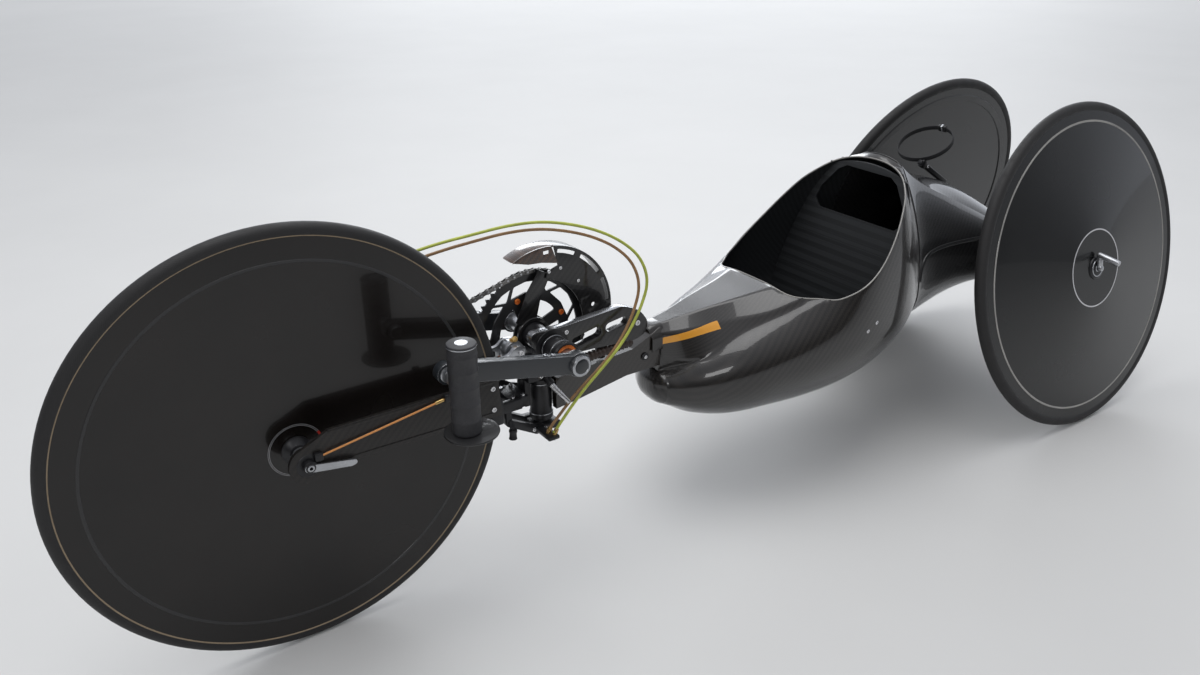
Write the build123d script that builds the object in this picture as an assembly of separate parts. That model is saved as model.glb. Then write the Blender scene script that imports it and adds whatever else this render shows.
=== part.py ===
from build123d import *
import math
import os

# Racing handbike: a kneeling tub on two cambered disc wheels, and a fork with the hand cranks
# and the driven front disc wheel, which steers about a head tube at the end of the nose beam.
# Millimetres. Origin on the floor, midway between front and rear axle. +X forward, +Y left, +Z up.

# Wheels and stance
wheelbase = 1586.0
wheel_radius = 334.0
tyre_width = 23.0
rear_track = 582.0
rear_camber = 12.5
tyre_r = tyre_width / 2
tyre_ring_r = wheel_radius - tyre_r
rim_half = 9.5
rim_depth = 34.0
rim_seat = 5.0
running_gap = 0.05
seat_gap = 0.3

# Front wheel
front_disc_half = 11.5
front_hub_r = 16.0
axle_pin_r = 6.0
sprocket_teeth = 18
smallest_teeth = 11
sprocket_count = 8
sprocket_step = 3.8
cassette_first = 21.5

# Rear wheels, offsets outboard of the wheel's middle plane
rear_inner_face = 10.0
rear_boss_outer = 35.0
rear_boss_r = 80.0
rear_hub_r = 24.0
rear_hub_lip = 2.0
rear_cap_depth = 4.0
stub_r = 10.0
stub_collar_r = 17.0
stub_collar = 10.0
stub_root = 46.0
stub_end = 30.0

# Body
tub_wall = 4.0
tub_back = 392.0
tip_to_crank = 215.0
nose_to_crank = 224.0
axle_beam_r = 19.0
axle_beam_inset = 99.0
axle_beam_rise = -16.0

# Steering head, places behind the front wheel's rear edge and heights over the axle line
head_back = 80.0
head_r = 20.0
steerer_r = 14.0
head_low = -82.0
head_high = -6.0
yoke_gap = 4.0
yoke_low_thick = 12.0
yoke_half = 26.0

# Cranks
crank_back = 87.0
crank_rise = 55.0
crank_radius = 227.0
crank_angle = 12.4
crank_axle_r = 12.0
housing_r = 22.0
housing_left = 68.0
housing_right = -28.0
cup_width = 6.0
cup_r = 24.0
crank_inner = 94.0
crank_width = 22.0
crank_depth = 31.0
crank_root_r = 20.0
crank_eye_r = 16.0
chain_pitch = 12.7
ring_teeth = 53
chain_y = -40.0
chain_width = 8.0
chain_half = 4.5
ring_thick = 4.0
ring_inner_r = 84.0
spider_arms = 4
spider_width = 20.0
spider_hub_r = 27.5

# Grips
grip_y = 160.0
grip_r = 21.5
grip_height = 138.0
grip_pin_r = 6.0
grip_knob_r = 10.0
grip_knob_width = 7.5
grip_plate_r = 40.0
grip_plate_depth = 5.0
grip_plate_back = 7.0

# Fork
blade_inner = 57.0
blade_width = 6.0
blade_hub_r = 28.0

half_base = wheelbase / 2


def ahead(distance):
    """X of a place that lies this far ahead of the rear axle."""
    return distance - half_base


def aft(distance):
    """X of a place that lies this far behind the front wheel's rear edge."""
    return half_base - wheel_radius - distance


def over(rise):
    """Z of a place that lies this far above the front axle."""
    return wheel_radius + rise


crank_x = aft(crank_back)
crank_z = over(crank_rise)
head_x = aft(head_back)
front_x = half_base
nose_face = crank_x - nose_to_crank


def station(share):
    """X of a place in the tub: 0 at its joint with the tail, 1 at its tip."""
    back = ahead(tub_back)
    tip = crank_x - tip_to_crank
    return back + share * (tip - back)


def save(part, name):
    """Write one sub-part to its own file."""
    os.makedirs("parts", exist_ok=True)
    export_step(part, f"parts/{name}.step")


def rod(start, end, radius):
    """Round bar between two points."""
    a = Vector(*start)
    b = Vector(*end)
    along = b - a
    plane = Plane(origin=a, z_dir=along.normalized())
    return extrude(plane * Circle(radius), amount=along.length)


def cross_rod(x, z, y0, y1, radius):
    """Round bar along Y at x, z."""
    return rod((x, y0, z), (x, y1, z), radius)


def block(x0, x1, y0, y1, z0, z1):
    """Box between two corners."""
    box = Box(x1 - x0, y1 - y0, z1 - z0, align=(Align.MIN, Align.MIN, Align.MIN))
    return Pos(x0, y0, z0) * box


def side_plate(points, y0, y1):
    """Plate with an outline in the side view, from y0 to y1."""
    plane = Plane(origin=(0, y1, 0), x_dir=(1, 0, 0), z_dir=(0, -1, 0))
    outline = make_face(plane * Polyline(*points, close=True))
    return extrude(outline, amount=y1 - y0, dir=(0, -1, 0))


def mirrored(part):
    """The same piece on the other side."""
    return mirror(part, about=Plane.XZ)


def turned(points):
    """Ring about the Y axis from a closed half section of (radius, y)."""
    return revolve(make_face(Polyline(*points, close=True)), axis=Axis.Y)


# Body sections. Heights are over the front axle.

def round_section(x, bottom, half, mid, low_r, shoulder_half, shoulder, crown, wall=0.0):
    """Closed section of six tangent arcs: belly, two low sides, two high sides, crown."""
    half = half - wall
    bottom = over(bottom) + wall
    mid = over(mid)
    low_r = low_r - wall
    shoulder_half = shoulder_half - wall
    shoulder = over(shoulder) - wall / 2
    crown = over(crown) - wall
    ratio = (mid - low_r - bottom) / (half - low_r)
    turn = math.pi / 2 - 2 * math.atan(ratio)
    centre = half - low_r

    def low(angle):
        return (centre + low_r * math.cos(angle), mid - low_r * math.sin(angle))

    rise = shoulder - mid
    draw = half - shoulder_half
    high_r = (draw ** 2 + rise ** 2) / (2 * draw)
    high_centre = half - high_r
    high_turn = math.atan2(rise, shoulder_half - high_centre)

    def high(angle):
        return (high_centre + high_r * math.cos(angle), mid + high_r * math.sin(angle))

    right = [low(turn), low(turn / 2), (half, mid), high(high_turn / 2), (shoulder_half, shoulder)]
    left = [(-y, z) for y, z in reversed(right)]
    ring = [(0, bottom)] + right + [(0, crown)] + left
    corners = [Vector(x, y, z) for y, z in ring]
    starts = (11, 1, 3, 5, 7, 9)
    edges = []
    for start in starts:
        a = corners[start % 12]
        b = corners[(start + 1) % 12]
        c = corners[(start + 2) % 12]
        edges.append(Edge.make_three_point_arc(a, b, c))
    return Wire(edges)


def flat_section(x, deck_half, deck, facet_half, facet, side_half, side, base, wall=0.0):
    """Closed section of eight straight sides: deck, facets, sides, base."""
    base_half = base_share * side_half
    right = [(base_half, base + wall), (side_half - wall, side), (facet_half - wall, facet - wall / 2),
             (deck_half - wall / 2, deck - wall)]
    left = [(-y, z) for y, z in reversed(right)]
    corners = [Vector(x, y, over(z)) for y, z in right + left]
    return Wire(Polyline(*corners, close=True).edges())


# Columns: share of the tub's length, bottom, half width, height of it, low radius,
# shoulder half width, shoulder height, crown height
tub_sections = [
    (0.000, -112, 128, -4, 80, 54, 232, 243),
    (0.099, -150, 156, -14, 100, 110, 211, 229),
    (0.208, -174, 172, -24, 110, 149, 149, 164),
    (0.342, -187, 178, -34, 110, 166, 78, 91),
    (0.480, -189, 172, -44, 105, 136, 51, 64),
    (0.624, -184, 158, -57, 92, 114, 21, 35),
    (0.767, -176, 138, -70, 76, 100, -7, 7),
    (0.883, -156, 103, -84, 52, 66, -34, -24),
    (0.961, -130, 64, -90, 34, 38, -58, -51),
    (1.000, -119, 38, -91, 27, 26, -66, -60),
]
# Columns: share of the tub's length, deck half width, deck height, facet half width, facet
# height, side half width, side height, base height
nose_sections = [
    (0.460, 68, 61, 116, 54, 146, 12, -86),
    (0.538, 62, 63, 110, 52, 140, 6, -84),
    (0.659, 46, 54, 88, 32, 120, -9, -82),
    (0.803, 30, 44, 56, 22, 88, -16, -76),
    (0.910, 17, 35, 42, 19, 58, -34, -70),
    (0.984, 12, 30, 26, 18, 27, -22, -64),
]
base_share = 0.6
# Columns: ahead of the rear axle, bottom, half width, height of it, low radius,
# shoulder half width, shoulder height, crown height
axle_beam_half = rear_track / 2 - axle_beam_inset
tail_sections = [
    (-60, -22, axle_beam_half - 12, -8, 8, axle_beam_half - 32, 2, 6),
    (20, -44, axle_beam_half - 7, -4, 20, axle_beam_half - 42, 26, 44),
    (110, -51, 150, 1, 30, 105, 71, 109),
    (200, -66, 126, 11, 50, 75, 121, 158),
    (300, -91, 118, 11, 75, 62, 171, 190),
    (tub_back,) + tub_sections[0][1:],
]
hollow_tail_from = 2
# Cockpit outline seen from above: share of the tub's length, half width
rim_outline = [(0.570, 86), (0.558, 102), (0.526, 113), (0.486, 127), (0.456, 148), (0.438, 190),
               (0.122, 190), (0.106, 132), (0.082, 106), (0.048, 82), (0.011, 44)]
rim_corner = 12.0
# Sheer line of its sides: share of the tub's length, height
rim_sheer = [(0.640, -34), (0.470, -34), (0.462, 47), (0.400, 54), (0.342, 70), (0.271, 99), (0.208, 134),
             (0.149, 169), (0.103, 199), (-0.020, 160), (-0.020, 400), (0.640, 400)]
sheer_corner = 15.0
sheer_sweep = 70.0
sweep_shares = (0.120, 0.420)


def tub_body(wall=0.0):
    """Smooth belly of the tub, or its hollow."""
    wires = []
    for share, *sizes in tub_sections:
        x = station(share)
        if share == 1.0:
            x = x - wall
        wires.append(round_section(x, *sizes, wall=wall))
    return Solid.make_loft(wires)


def nose_body(wall=0.0):
    """Raised nose with a flat deck, or its hollow."""
    wires = []
    for share, *sizes in nose_sections:
        x = station(share)
        if (share, *sizes) == nose_sections[-1]:
            x = x - wall
        wires.append(flat_section(x, *sizes, wall=wall))
    return Solid.make_loft(wires)


def tail_body(sections, wall=0.0):
    """Smooth tail from the axle beam up to the tub's back."""
    wires = [round_section(ahead(row[0]), *row[1:], wall=wall) for row in sections]
    return Solid.make_loft(wires)


def cockpit_cut():
    """Everything above the cockpit opening."""
    half = [(station(share), y) for share, y in rim_outline]
    other = [(x, -y) for x, y in reversed(half)]
    outline = make_face(Polyline(*half, *other, close=True))
    outline = fillet(outline.vertices(), rim_corner)
    hole = extrude(outline, amount=3 * wheel_radius)
    sheer = make_face(Polyline(*[(station(share), 0, over(z)) for share, z in rim_sheer], close=True))
    back, front = [station(share) for share in sweep_shares]
    sheer = fillet(sheer.vertices().filter_by_position(Axis.X, back, front), sheer_sweep)
    sheer = fillet(sheer.vertices().filter_by_position(Axis.X, front, station(1)), sheer_corner)
    return hole & extrude(sheer, amount=rear_track / 2, dir=(0, 1, 0), both=True)


def make_tub():
    outer = tub_body() + nose_body()
    return outer - tub_body(tub_wall) - nose_body(tub_wall) - cockpit_cut()


def make_axle_beam():
    return cross_rod(ahead(0), over(axle_beam_rise), -axle_beam_half, axle_beam_half, axle_beam_r)


def make_tail():
    shell = tail_body(tail_sections) - tail_body(tail_sections[hollow_tail_from:], wall=tub_wall)
    return shell - make_axle_beam()


# Seat bulkhead: a plate across the tub, leaning back, with the open recess in it
seat_foot = 126.0
seat_foot_rise = -114.0
seat_top = 28.0
seat_top_rise = 211.0
# Columns: half width, height over the axle line
recess_outline = [(96, 124), (112, 138), (104, 166), (74, 204), (56, 214)]
recess_corner = 9.0


def make_bulkhead():
    lean = math.degrees(math.atan2(seat_foot - seat_top, seat_top_rise - seat_foot_rise))
    mid_x = ahead(tub_back + (seat_foot + seat_top) / 2)
    mid_z = over((seat_foot_rise + seat_top_rise) / 2)
    slab = Pos(mid_x, 0, mid_z) * Rot(0, -lean, 0) * Box(tub_wall, rear_track, rear_track)
    plate = slab & tub_body(tub_wall)
    right = [(y, over(z)) for y, z in recess_outline]
    left = [(-y, z) for y, z in reversed(right)]
    plane = Plane(origin=(ahead(tub_back), 0, 0), x_dir=(0, 1, 0), z_dir=(1, 0, 0))
    window = make_face(plane * Polyline(*right, *left, close=True))
    window = fillet(window.vertices(), recess_corner)
    return plate - extrude(window, amount=2 * seat_foot)


# Wheels, made about the Y axis and then leaned and placed

def tyre():
    return Plane.XZ * Torus(tyre_ring_r, tyre_r)


rim_edge = wheel_radius - tyre_width + rim_seat


def front_disc():
    flat = rim_edge - rim_depth
    left = [(front_hub_r, front_disc_half), (flat, front_disc_half), (rim_edge, rim_half)]
    right = [(rim_edge, -rim_half), (flat, -front_disc_half), (front_hub_r, -front_disc_half)]
    return turned(left + right) - tyre()


def rear_disc():
    flat = rim_edge - rim_depth / 2
    outer = [(rear_hub_r, rear_boss_outer), (rear_boss_r, rear_boss_outer), (flat, rear_inner_face),
             (rim_edge, rim_half)]
    inner = [(rim_edge, -rim_half), (rear_hub_r, -rear_inner_face)]
    return turned(outer + inner) - tyre()


def rear_hub():
    bore = stub_r + running_gap
    outer = rear_boss_outer + rear_cap_depth
    inner = -rear_inner_face - rear_hub_lip
    points = [(0, outer), (rear_hub_r, outer), (rear_hub_r, inner), (bore, inner), (bore, stub_end + 1),
              (0, stub_end + 1)]
    return turned(points)


def stub_axle():
    collar = -rear_inner_face - rear_hub_lip - seat_gap
    pin = rod((0, -stub_root, 0), (0, stub_end, 0), stub_r)
    return pin + rod((0, collar - stub_collar, 0), (0, collar, 0), stub_collar_r)


def rear_place(part):
    """Lean a piece made about Y and put it on the left rear wheel's centre."""
    lean = math.radians(rear_camber)
    centre_y = rear_track / 2 - tyre_ring_r * math.sin(lean)
    centre_z = tyre_ring_r * math.cos(lean) + tyre_r
    return Pos(ahead(0), centre_y, centre_z) * Rot(rear_camber, 0, 0) * part


def front_place(part):
    return Pos(front_x, 0, over(0)) * part


sprocket_r = sprocket_teeth * chain_pitch / (2 * math.pi)
ring_r = ring_teeth * chain_pitch / (2 * math.pi)
chain_clear = 0.5


def make_cassette():
    stack = None
    largest_y = -cassette_first
    for index in range(sprocket_count):
        teeth = smallest_teeth + 2 * index
        radius = teeth * chain_pitch / (2 * math.pi)
        y0 = largest_y - (sprocket_count - 1 - index) * sprocket_step
        disc = cross_rod(0, 0, y0 - sprocket_step, y0, radius)
        stack = disc if stack is None else stack + disc
    groove_half = chain_width / 2 + chain_clear
    groove_r = sprocket_r - chain_half - chain_clear
    groove = cross_rod(0, 0, chain_y - groove_half, chain_y + groove_half, 2 * sprocket_r)
    groove = groove - cross_rod(0, 0, chain_y - groove_half, chain_y + groove_half, groove_r)
    return stack - groove - cross_rod(0, 0, -blade_inner, 0, front_hub_r)


def front_hub():
    length = blade_inner - seat_gap
    shell = cross_rod(0, 0, -length, length, front_hub_r)
    return shell - cross_rod(0, 0, -blade_inner, blade_inner, axle_pin_r + running_gap)


# Chain: one loop through ring, lower jockey, upper jockey and sprocket

jockey_r = 20.0
upper_jockey = (front_x + 6, over(-66))
lower_jockey = (front_x - 26, over(-119))
chain_rounds = [
    ((crank_x, crank_z), ring_r, 1),
    (lower_jockey, jockey_r, 1),
    (upper_jockey, jockey_r, -1),
    ((front_x, over(0)), sprocket_r, 1),
]


def tangent(first, second, shift):
    """Straight run between two rounds, moved to the left by shift."""
    (c1, r1, s1), (c2, r2, s2) = first, second
    r1 = r1 - s1 * shift
    r2 = r2 - s2 * shift
    dx = c2[0] - c1[0]
    dz = c2[1] - c1[1]
    gap = math.hypot(dx, dz)
    angle = math.atan2(dz, dx) - math.asin((s2 * r2 - s1 * r1) / gap)
    nx = -math.sin(angle)
    nz = math.cos(angle)
    return (c1[0] - s1 * r1 * nx, c1[1] - s1 * r1 * nz), (c2[0] - s2 * r2 * nx, c2[1] - s2 * r2 * nz)


def chain_outline(shift):
    """Closed outline of the chain's left or right edge in the side view."""
    count = len(chain_rounds)
    runs = [tangent(chain_rounds[i], chain_rounds[(i + 1) % count], shift) for i in range(count)]
    edges = []
    for i, (start, end) in enumerate(runs):
        edges.append(Edge.make_line((start[0], 0, start[1]), (end[0], 0, end[1])))
        centre, radius, sign = chain_rounds[(i + 1) % count]
        leave = runs[(i + 1) % count][0]
        a0 = math.atan2(end[1] - centre[1], end[0] - centre[0])
        a1 = math.atan2(leave[1] - centre[1], leave[0] - centre[0])
        sweep = (a1 - a0) % (2 * math.pi) if sign > 0 else -((a0 - a1) % (2 * math.pi))
        mid = a0 + sweep / 2
        reach = radius - sign * shift
        middle = (centre[0] + reach * math.cos(mid), 0, centre[1] + reach * math.sin(mid))
        edges.append(Edge.make_three_point_arc((end[0], 0, end[1]), middle, (leave[0], 0, leave[1])))
    return Face(Wire(edges))


def make_chain():
    outer = chain_outline(-chain_half)
    inner = chain_outline(chain_half)
    band = extrude(outer, amount=chain_width / 2, dir=(0, 1, 0), both=True)
    hole = extrude(inner, amount=chain_width, dir=(0, 1, 0), both=True)
    return Pos(0, chain_y, 0) * (band - hole)


# Cranks

def crank_end():
    a = math.radians(crank_angle)
    return crank_x + crank_radius * math.cos(a), crank_z + crank_radius * math.sin(a)


def make_crank_arm():
    x1, z1 = crank_end()
    y0, y1 = crank_inner, crank_inner + crank_width
    root = cross_rod(crank_x, crank_z, y0, y1, crank_root_r)
    eye = cross_rod(x1, z1, y0, y1, crank_eye_r)
    bar = Pos((crank_x + x1) / 2, (y0 + y1) / 2, (crank_z + z1) / 2) * Rot(0, -crank_angle, 0) * Box(
        crank_radius, crank_width, crank_depth)
    arm = root + bar + eye
    arm = arm - cross_rod(crank_x, crank_z, y0 - 1, y1 + 1, crank_axle_r)
    return arm - cross_rod(x1, z1, y0 - 1, y1 + 1, grip_pin_r + running_gap)


def make_chainring():
    y0 = chain_y - ring_thick / 2
    y1 = chain_y + ring_thick / 2
    rim = cross_rod(crank_x, crank_z, y0, y1, ring_r - chain_half - chain_clear)
    wheel = rim - cross_rod(crank_x, crank_z, y0 - 1, y1 + 1, ring_inner_r)
    reach = ring_inner_r + ring_thick
    for index in range(spider_arms):
        turn = 45 + index * 360 / spider_arms
        arm = Pos(reach / 2, 0, 0) * Box(reach, ring_thick, spider_width)
        wheel += Pos(crank_x, chain_y, crank_z) * Rot(0, turn, 0) * arm
    hub_end = housing_right - cup_width - seat_gap
    wheel += cross_rod(crank_x, crank_z, y0, hub_end, spider_hub_r)
    return wheel - cross_rod(crank_x, crank_z, y0 - 1, 0, crank_axle_r)


def make_crank_axle():
    end = crank_inner + crank_width
    return cross_rod(crank_x, crank_z, -end, end, crank_axle_r)


# Crank housing on the steering yoke

def housing_solid():
    return cross_rod(crank_x, crank_z, housing_right, housing_left, housing_r)


def axle_way():
    """Running room round the crank axle."""
    return cross_rod(crank_x, crank_z, -crank_inner, crank_inner, crank_axle_r + running_gap)


def make_cup(y0, y1):
    return cross_rod(crank_x, crank_z, y0, y1, cup_r) - axle_way()


# Steering head and fork

yoke_top_high = 28.0
yoke_back = 106.0
yoke_front = 43.0
post_half = 13.0
post_thick = 12.0
post_low = -50.0
saddle_front = 63.0
saddle_high = 44.0
saddle_right = -24.0
crown_front = 9.0
crown_low = -40.0
crown_high = -21.0
cheek_inner = 18.0
cheek_thick = 12.0
cheek_root = 29.0
cheek_back = -20.0
cheek_front = -42.0
cheek_high = 6.0
yoke_low_front = 57.0
strut_inner = 15.0
# Columns: behind the front wheel's rear edge, height over the axle line
low_strut = [(55, -98), (0, -66), (0, -40), (10, -40), (10, -58), (57, -84), (71, -84), (71, -98)]


def head_column(z0, z1, radius):
    return rod((head_x, 0, over(z0)), (head_x, 0, over(z1)), radius)


def make_head_tube():
    return head_column(head_low, head_high, head_r) - head_column(head_low - 1, head_high + 1,
                                                                  steerer_r + running_gap)


yoke_low_high = head_low - yoke_gap
yoke_low_low = yoke_low_high - yoke_low_thick
yoke_top_low = head_high + yoke_gap


def make_steerer():
    return head_column(yoke_low_low, yoke_top_high - yoke_gap, steerer_r)


def make_yoke_top():
    """Upper plate, with the saddle of the crank housing on it and the post down to the crown."""
    back, front = aft(yoke_back), aft(yoke_front)
    low, high = over(yoke_top_low), over(yoke_top_high)
    plate = block(back, front, -yoke_half, yoke_half, low, high)
    post = block(front - post_thick, front, -post_half, post_half, over(post_low), low)
    saddle = block(back, aft(saddle_front), saddle_right, arm_right, high, over(saddle_high))
    return plate + post + saddle - housing_solid() - make_steerer()


def make_yoke_low():
    """Lower plate, with two struts up to the crown."""
    plate = block(aft(yoke_back - yoke_gap), aft(yoke_low_front), -yoke_half, yoke_half, over(yoke_low_low),
                  over(yoke_low_high))
    points = [(aft(d), over(z)) for d, z in low_strut]
    strut = side_plate(points, strut_inner, yoke_half)
    return plate + strut + mirrored(strut) - make_steerer()


def make_crown():
    """Cross piece behind the tyre, with a cheek each side of it that carries the blade."""
    low, high = over(crown_low), over(crown_high)
    crown = block(aft(yoke_front), aft(crown_front), -yoke_half, yoke_half, low, high)
    cheek = block(aft(cheek_root), aft(cheek_front), cheek_inner, cheek_inner + cheek_thick, low, high)
    cheek += block(aft(cheek_back), aft(cheek_front), cheek_inner, blade_inner, low, over(cheek_high))
    return crown + cheek + mirrored(cheek)


# Columns: behind the front wheel's rear edge, height over the axle line
blade_outline = [(-305, 46), (-118, 46), (-35, 46), (-26, 41), (-26, -20), (-35, -18), (-118, -15), (-286, -14)]


def make_blade():
    y0, y1 = blade_inner, blade_inner + blade_width
    points = [(front_x, over(blade_hub_r))]
    points += [(aft(d), over(z)) for d, z in blade_outline]
    points += [(front_x, over(-blade_hub_r))]
    plate = side_plate(points, y0, y1) + cross_rod(front_x, over(0), y0, y1, blade_hub_r)
    return plate - cross_rod(front_x, over(0), y0 - 1, y1 + 1, axle_pin_r)


lever_length = 66.0
nut_r = 10.0
nut_width = 9.0


def make_front_axle():
    end = blade_inner + blade_width
    z = over(0)
    pin = cross_rod(front_x, z, -end, end, axle_pin_r)
    nut = cross_rod(front_x, z, -end - nut_width, -end, nut_r)
    cam = cross_rod(front_x, z, end, end + nut_width, nut_r)
    lever = rod((front_x, end + 5, z), (front_x - lever_length, end + nut_width, z - 12), 3.5)
    return pin + nut + cam + lever


# Slotted arm. Columns: behind the front wheel's rear edge, height over the axle line
arm_outline = [(49, 88), (102, 84), (205, 90), (226, 92), (262, 76), (280, 50), (274, 30), (251, 22),
               (189, 28), (122, 32), (49, 60)]
# Columns: one end of the slot, its height, other end, its height, radius
arm_slots = [(132, 50, 174, 58, 9), (200, 60, 228, 64, 8)]
arm_left = 30.0
arm_right = 16.0


def make_arm():
    points = [(aft(d), over(z)) for d, z in arm_outline]
    plate = side_plate(points, arm_right, arm_left)
    for d0, z0, d1, z1, radius in arm_slots:
        for d, z in ((d0, z0), (d1, z1)):
            plate -= cross_rod(aft(d), over(z), 0, blade_inner, radius)
        length = math.hypot(d1 - d0, z1 - z0)
        turn = math.degrees(math.atan2(z1 - z0, d1 - d0))
        bar = Box(length, blade_inner, 2 * radius)
        plate -= Pos(aft((d0 + d1) / 2), blade_inner / 2, over((z0 + z1) / 2)) * Rot(0, turn, 0) * bar
    return plate - housing_solid()


rubber_r = 9.0
rubber_back = 189.0
beam_left = 24.0
beam_right = -16.0


def make_rubber():
    """Ridged centring rubber between the slotted arm and the beam, standing on the beam's top."""
    x = aft(rubber_back)
    return rod((x, arm_left - rubber_r - 4, over(4)), (x, arm_left - rubber_r - 4, over(27)), rubber_r)


def make_beam():
    """Beam from the nose to the head tube, with room for the chain on its right."""
    points = [(nose_face, over(28)), (nose_face, over(-44)), (nose_face + 73, over(-44)),
              (head_x - 61, over(-59)), (head_x - 16, over(-64)), (head_x - 16, over(-8)),
              (nose_face + 59, over(3))]
    beam = side_plate(points, beam_right, beam_left) - tub_body() - nose_body()
    return beam - head_column(-wheel_radius, wheel_radius, head_r)


# Brake, guard, derailleur

caliper_half = 24.0
pad_gap = 5.0
caliper_back = 46.0
caliper_front = 14.0
caliper_low = 38.0
caliper_high = 70.0
caliper_stem = (55.0, 22.0)
caliper_stem_half = 10.0
shoe_back = 38.0
shoe_front = -32.0
shoe_low = 40.0
shoe_high = 58.0


def make_caliper():
    pad = tyre_r + pad_gap
    bridge = block(aft(caliper_back), aft(caliper_front), -caliper_half, caliper_half, over(caliper_low),
                   over(caliper_high))
    stem_back, stem_front = caliper_stem
    stem = block(aft(stem_back), aft(stem_front), -caliper_stem_half, caliper_stem_half,
                 over(yoke_top_high), over(caliper_low))
    shoe = block(aft(shoe_back), aft(shoe_front), pad, caliper_half, over(shoe_low), over(shoe_high))
    return bridge + stem + shoe + mirrored(shoe)


guard_back = 27.0
guard_rise = 19.0
guard_r = 128.0
guard_skin = 3.0
guard_near = -26.0
guard_far = -60.0
guard_start = 62.0
guard_end = 182.0
flange_inner_r = 96.0
flange_start = 92.0
flange_end = 184.0
strut_thick = 5.0
# Columns: behind the crank axle, above it
strut_outline = [(37, 97), (16, 112), (-25, 29), (-18, 0), (18, 0), (7, 22)]


def sector(centre_x, centre_z, radius, start, end, y0, y1):
    """Slice of a disc in the side view, between two angles up from +X."""
    mid = math.radians((start + end) / 2)
    a, b = math.radians(start), math.radians(end)
    rim = [(centre_x + radius * math.cos(t), 0, centre_z + radius * math.sin(t)) for t in (a, mid, b)]
    edges = [Edge.make_three_point_arc(*rim), Edge.make_line(rim[2], (centre_x, 0, centre_z)),
             Edge.make_line((centre_x, 0, centre_z), rim[0])]
    return Pos(0, y0, 0) * extrude(Face(Wire(edges)), amount=y1 - y0, dir=(0, 1, 0))


def make_guard():
    """Shell over the rear and top of the chainring: crown, near flange and strut."""
    cx, cz = crank_x - guard_back, crank_z + guard_rise
    crown = sector(cx, cz, guard_r, guard_start, guard_end, guard_far, guard_near)
    crown -= sector(cx, cz, guard_r - guard_skin, guard_start - 1, guard_end + 1, guard_far - 1, guard_near + 1)
    flange = sector(cx, cz, guard_r, flange_start, flange_end, guard_near - guard_skin, guard_near)
    flange -= cross_rod(crank_x, crank_z, guard_far, 0, flange_inner_r)
    lip = sector(cx, cz, guard_r, guard_start, flange_start + 1, guard_near - guard_skin, guard_near)
    lip -= sector(cx, cz, guard_r - 22, 0, 180, guard_far, 0)
    points = [(crank_x - d, crank_z + z) for d, z in strut_outline]
    strut = side_plate(points, guard_near - strut_thick, guard_near)
    cup = cross_rod(crank_x, crank_z, housing_right - cup_width, housing_right, cup_r)
    return crown + flange + lip + strut - housing_solid() - cup


cage_offset = 7.0
cage_thick = 2.0
cage_r = 9.0
knuckle_r = 5.0
knuckle_drop = -28.0


def make_derailleur():
    x0, z0 = upper_jockey
    x1, z1 = lower_jockey
    out = chain_y - cage_offset
    room = block(x0 - wheel_radius, x0 + wheel_radius, -blade_inner, 0, 0, over(0))
    slab = block(x0 - wheel_radius, x0 + wheel_radius, out - cage_thick, out, 0, over(0))
    cage = rod((x0, out, z0), (x1, out, z1), cage_r) & slab
    knuckle = rod((x0, -blade_inner, over(knuckle_drop)), (x0, out, z0), knuckle_r)
    wheels = None
    for x, z in (upper_jockey, lower_jockey):
        disc = cross_rod(x, z, out, chain_y + 3, jockey_r - chain_half - chain_clear)
        wheels = disc if wheels is None else wheels + disc
    return (wheels + cage + knuckle) & room


# Control cables. Columns: ahead of the crank axle, y, above the crank axle
cable_r = 2.5
yellow_route = [(21, 62, -137), (-5, 62, -108), (-39, 62, -75), (-75, 62, -47), (-107, 61, -22),
                (-135, 59, 7), (-161, 54, 41), (-179, 48, 79), (-169, 39, 119), (-143, 25, 147),
                (-107, 10, 169), (-63, -4, 185), (-15, -22, 194), (35, -41, 191), (85, -55, 183),
                (137, -63, 178), (189, -71, 169), (239, -77, 149), (285, -82, 119), (323, -86, 81),
                (347, -88, 39), (359, -89, -1), (361, -90, -23)]
brown_route = [(27, 52, -137), (1, 53, -110), (-33, 54, -79), (-70, 55, -53), (-102, 54, -28),
               (-128, 52, 0), (-151, 47, 33), (-167, 41, 71), (-159, 32, 109), (-135, 19, 137),
               (-101, 5, 158), (-59, -9, 173), (-14, -26, 181), (34, -43, 179), (83, -57, 171),
               (135, -66, 164), (186, -74, 154), (235, -81, 134), (280, -87, 103), (316, -92, 64),
               (338, -95, 22), (349, -97, -18), (351, -98, -40)]
orange_r = 1.5
stop_size = 12.0
stop_depth = 8.0
orange_back = -112.0
orange_rise = 36.0
orange_drop = 12.0
orange_ahead = 20.0
# Lowest and highest corner of the two cable blocks, from the crank axle; y from the middle
low_stop = ((12, 26.3, -149), (36, 70, -130))
far_stop = ((342, -106, -48), (368, -63, -16))


def make_cable_stops():
    """Small blocks that hold the ends of the cables, each in one piece with its foot."""
    blocks = []
    for (x0, y0, z0), (x1, y1, z1) in (low_stop, far_stop):
        blocks.append(block(crank_x + x0, crank_x + x1, y0, y1, crank_z + z0, crank_z + z1))
    outer = blade_inner + blade_width
    places = ((aft(orange_back), over(orange_rise)), (front_x - orange_ahead, over(orange_drop) - stop_size / 2))
    for x, z in places:
        blocks.append(block(x, x + stop_size, outer, outer + stop_depth, z, z + stop_size))
    return Compound(blocks)


def make_orange_wire():
    y = blade_inner + blade_width + stop_depth / 2
    start = (aft(orange_back) + stop_size / 2, y, over(orange_rise) + stop_size / 2)
    end = (front_x - orange_ahead + 1, y, over(orange_drop))
    return rod(start, end, orange_r)


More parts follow.
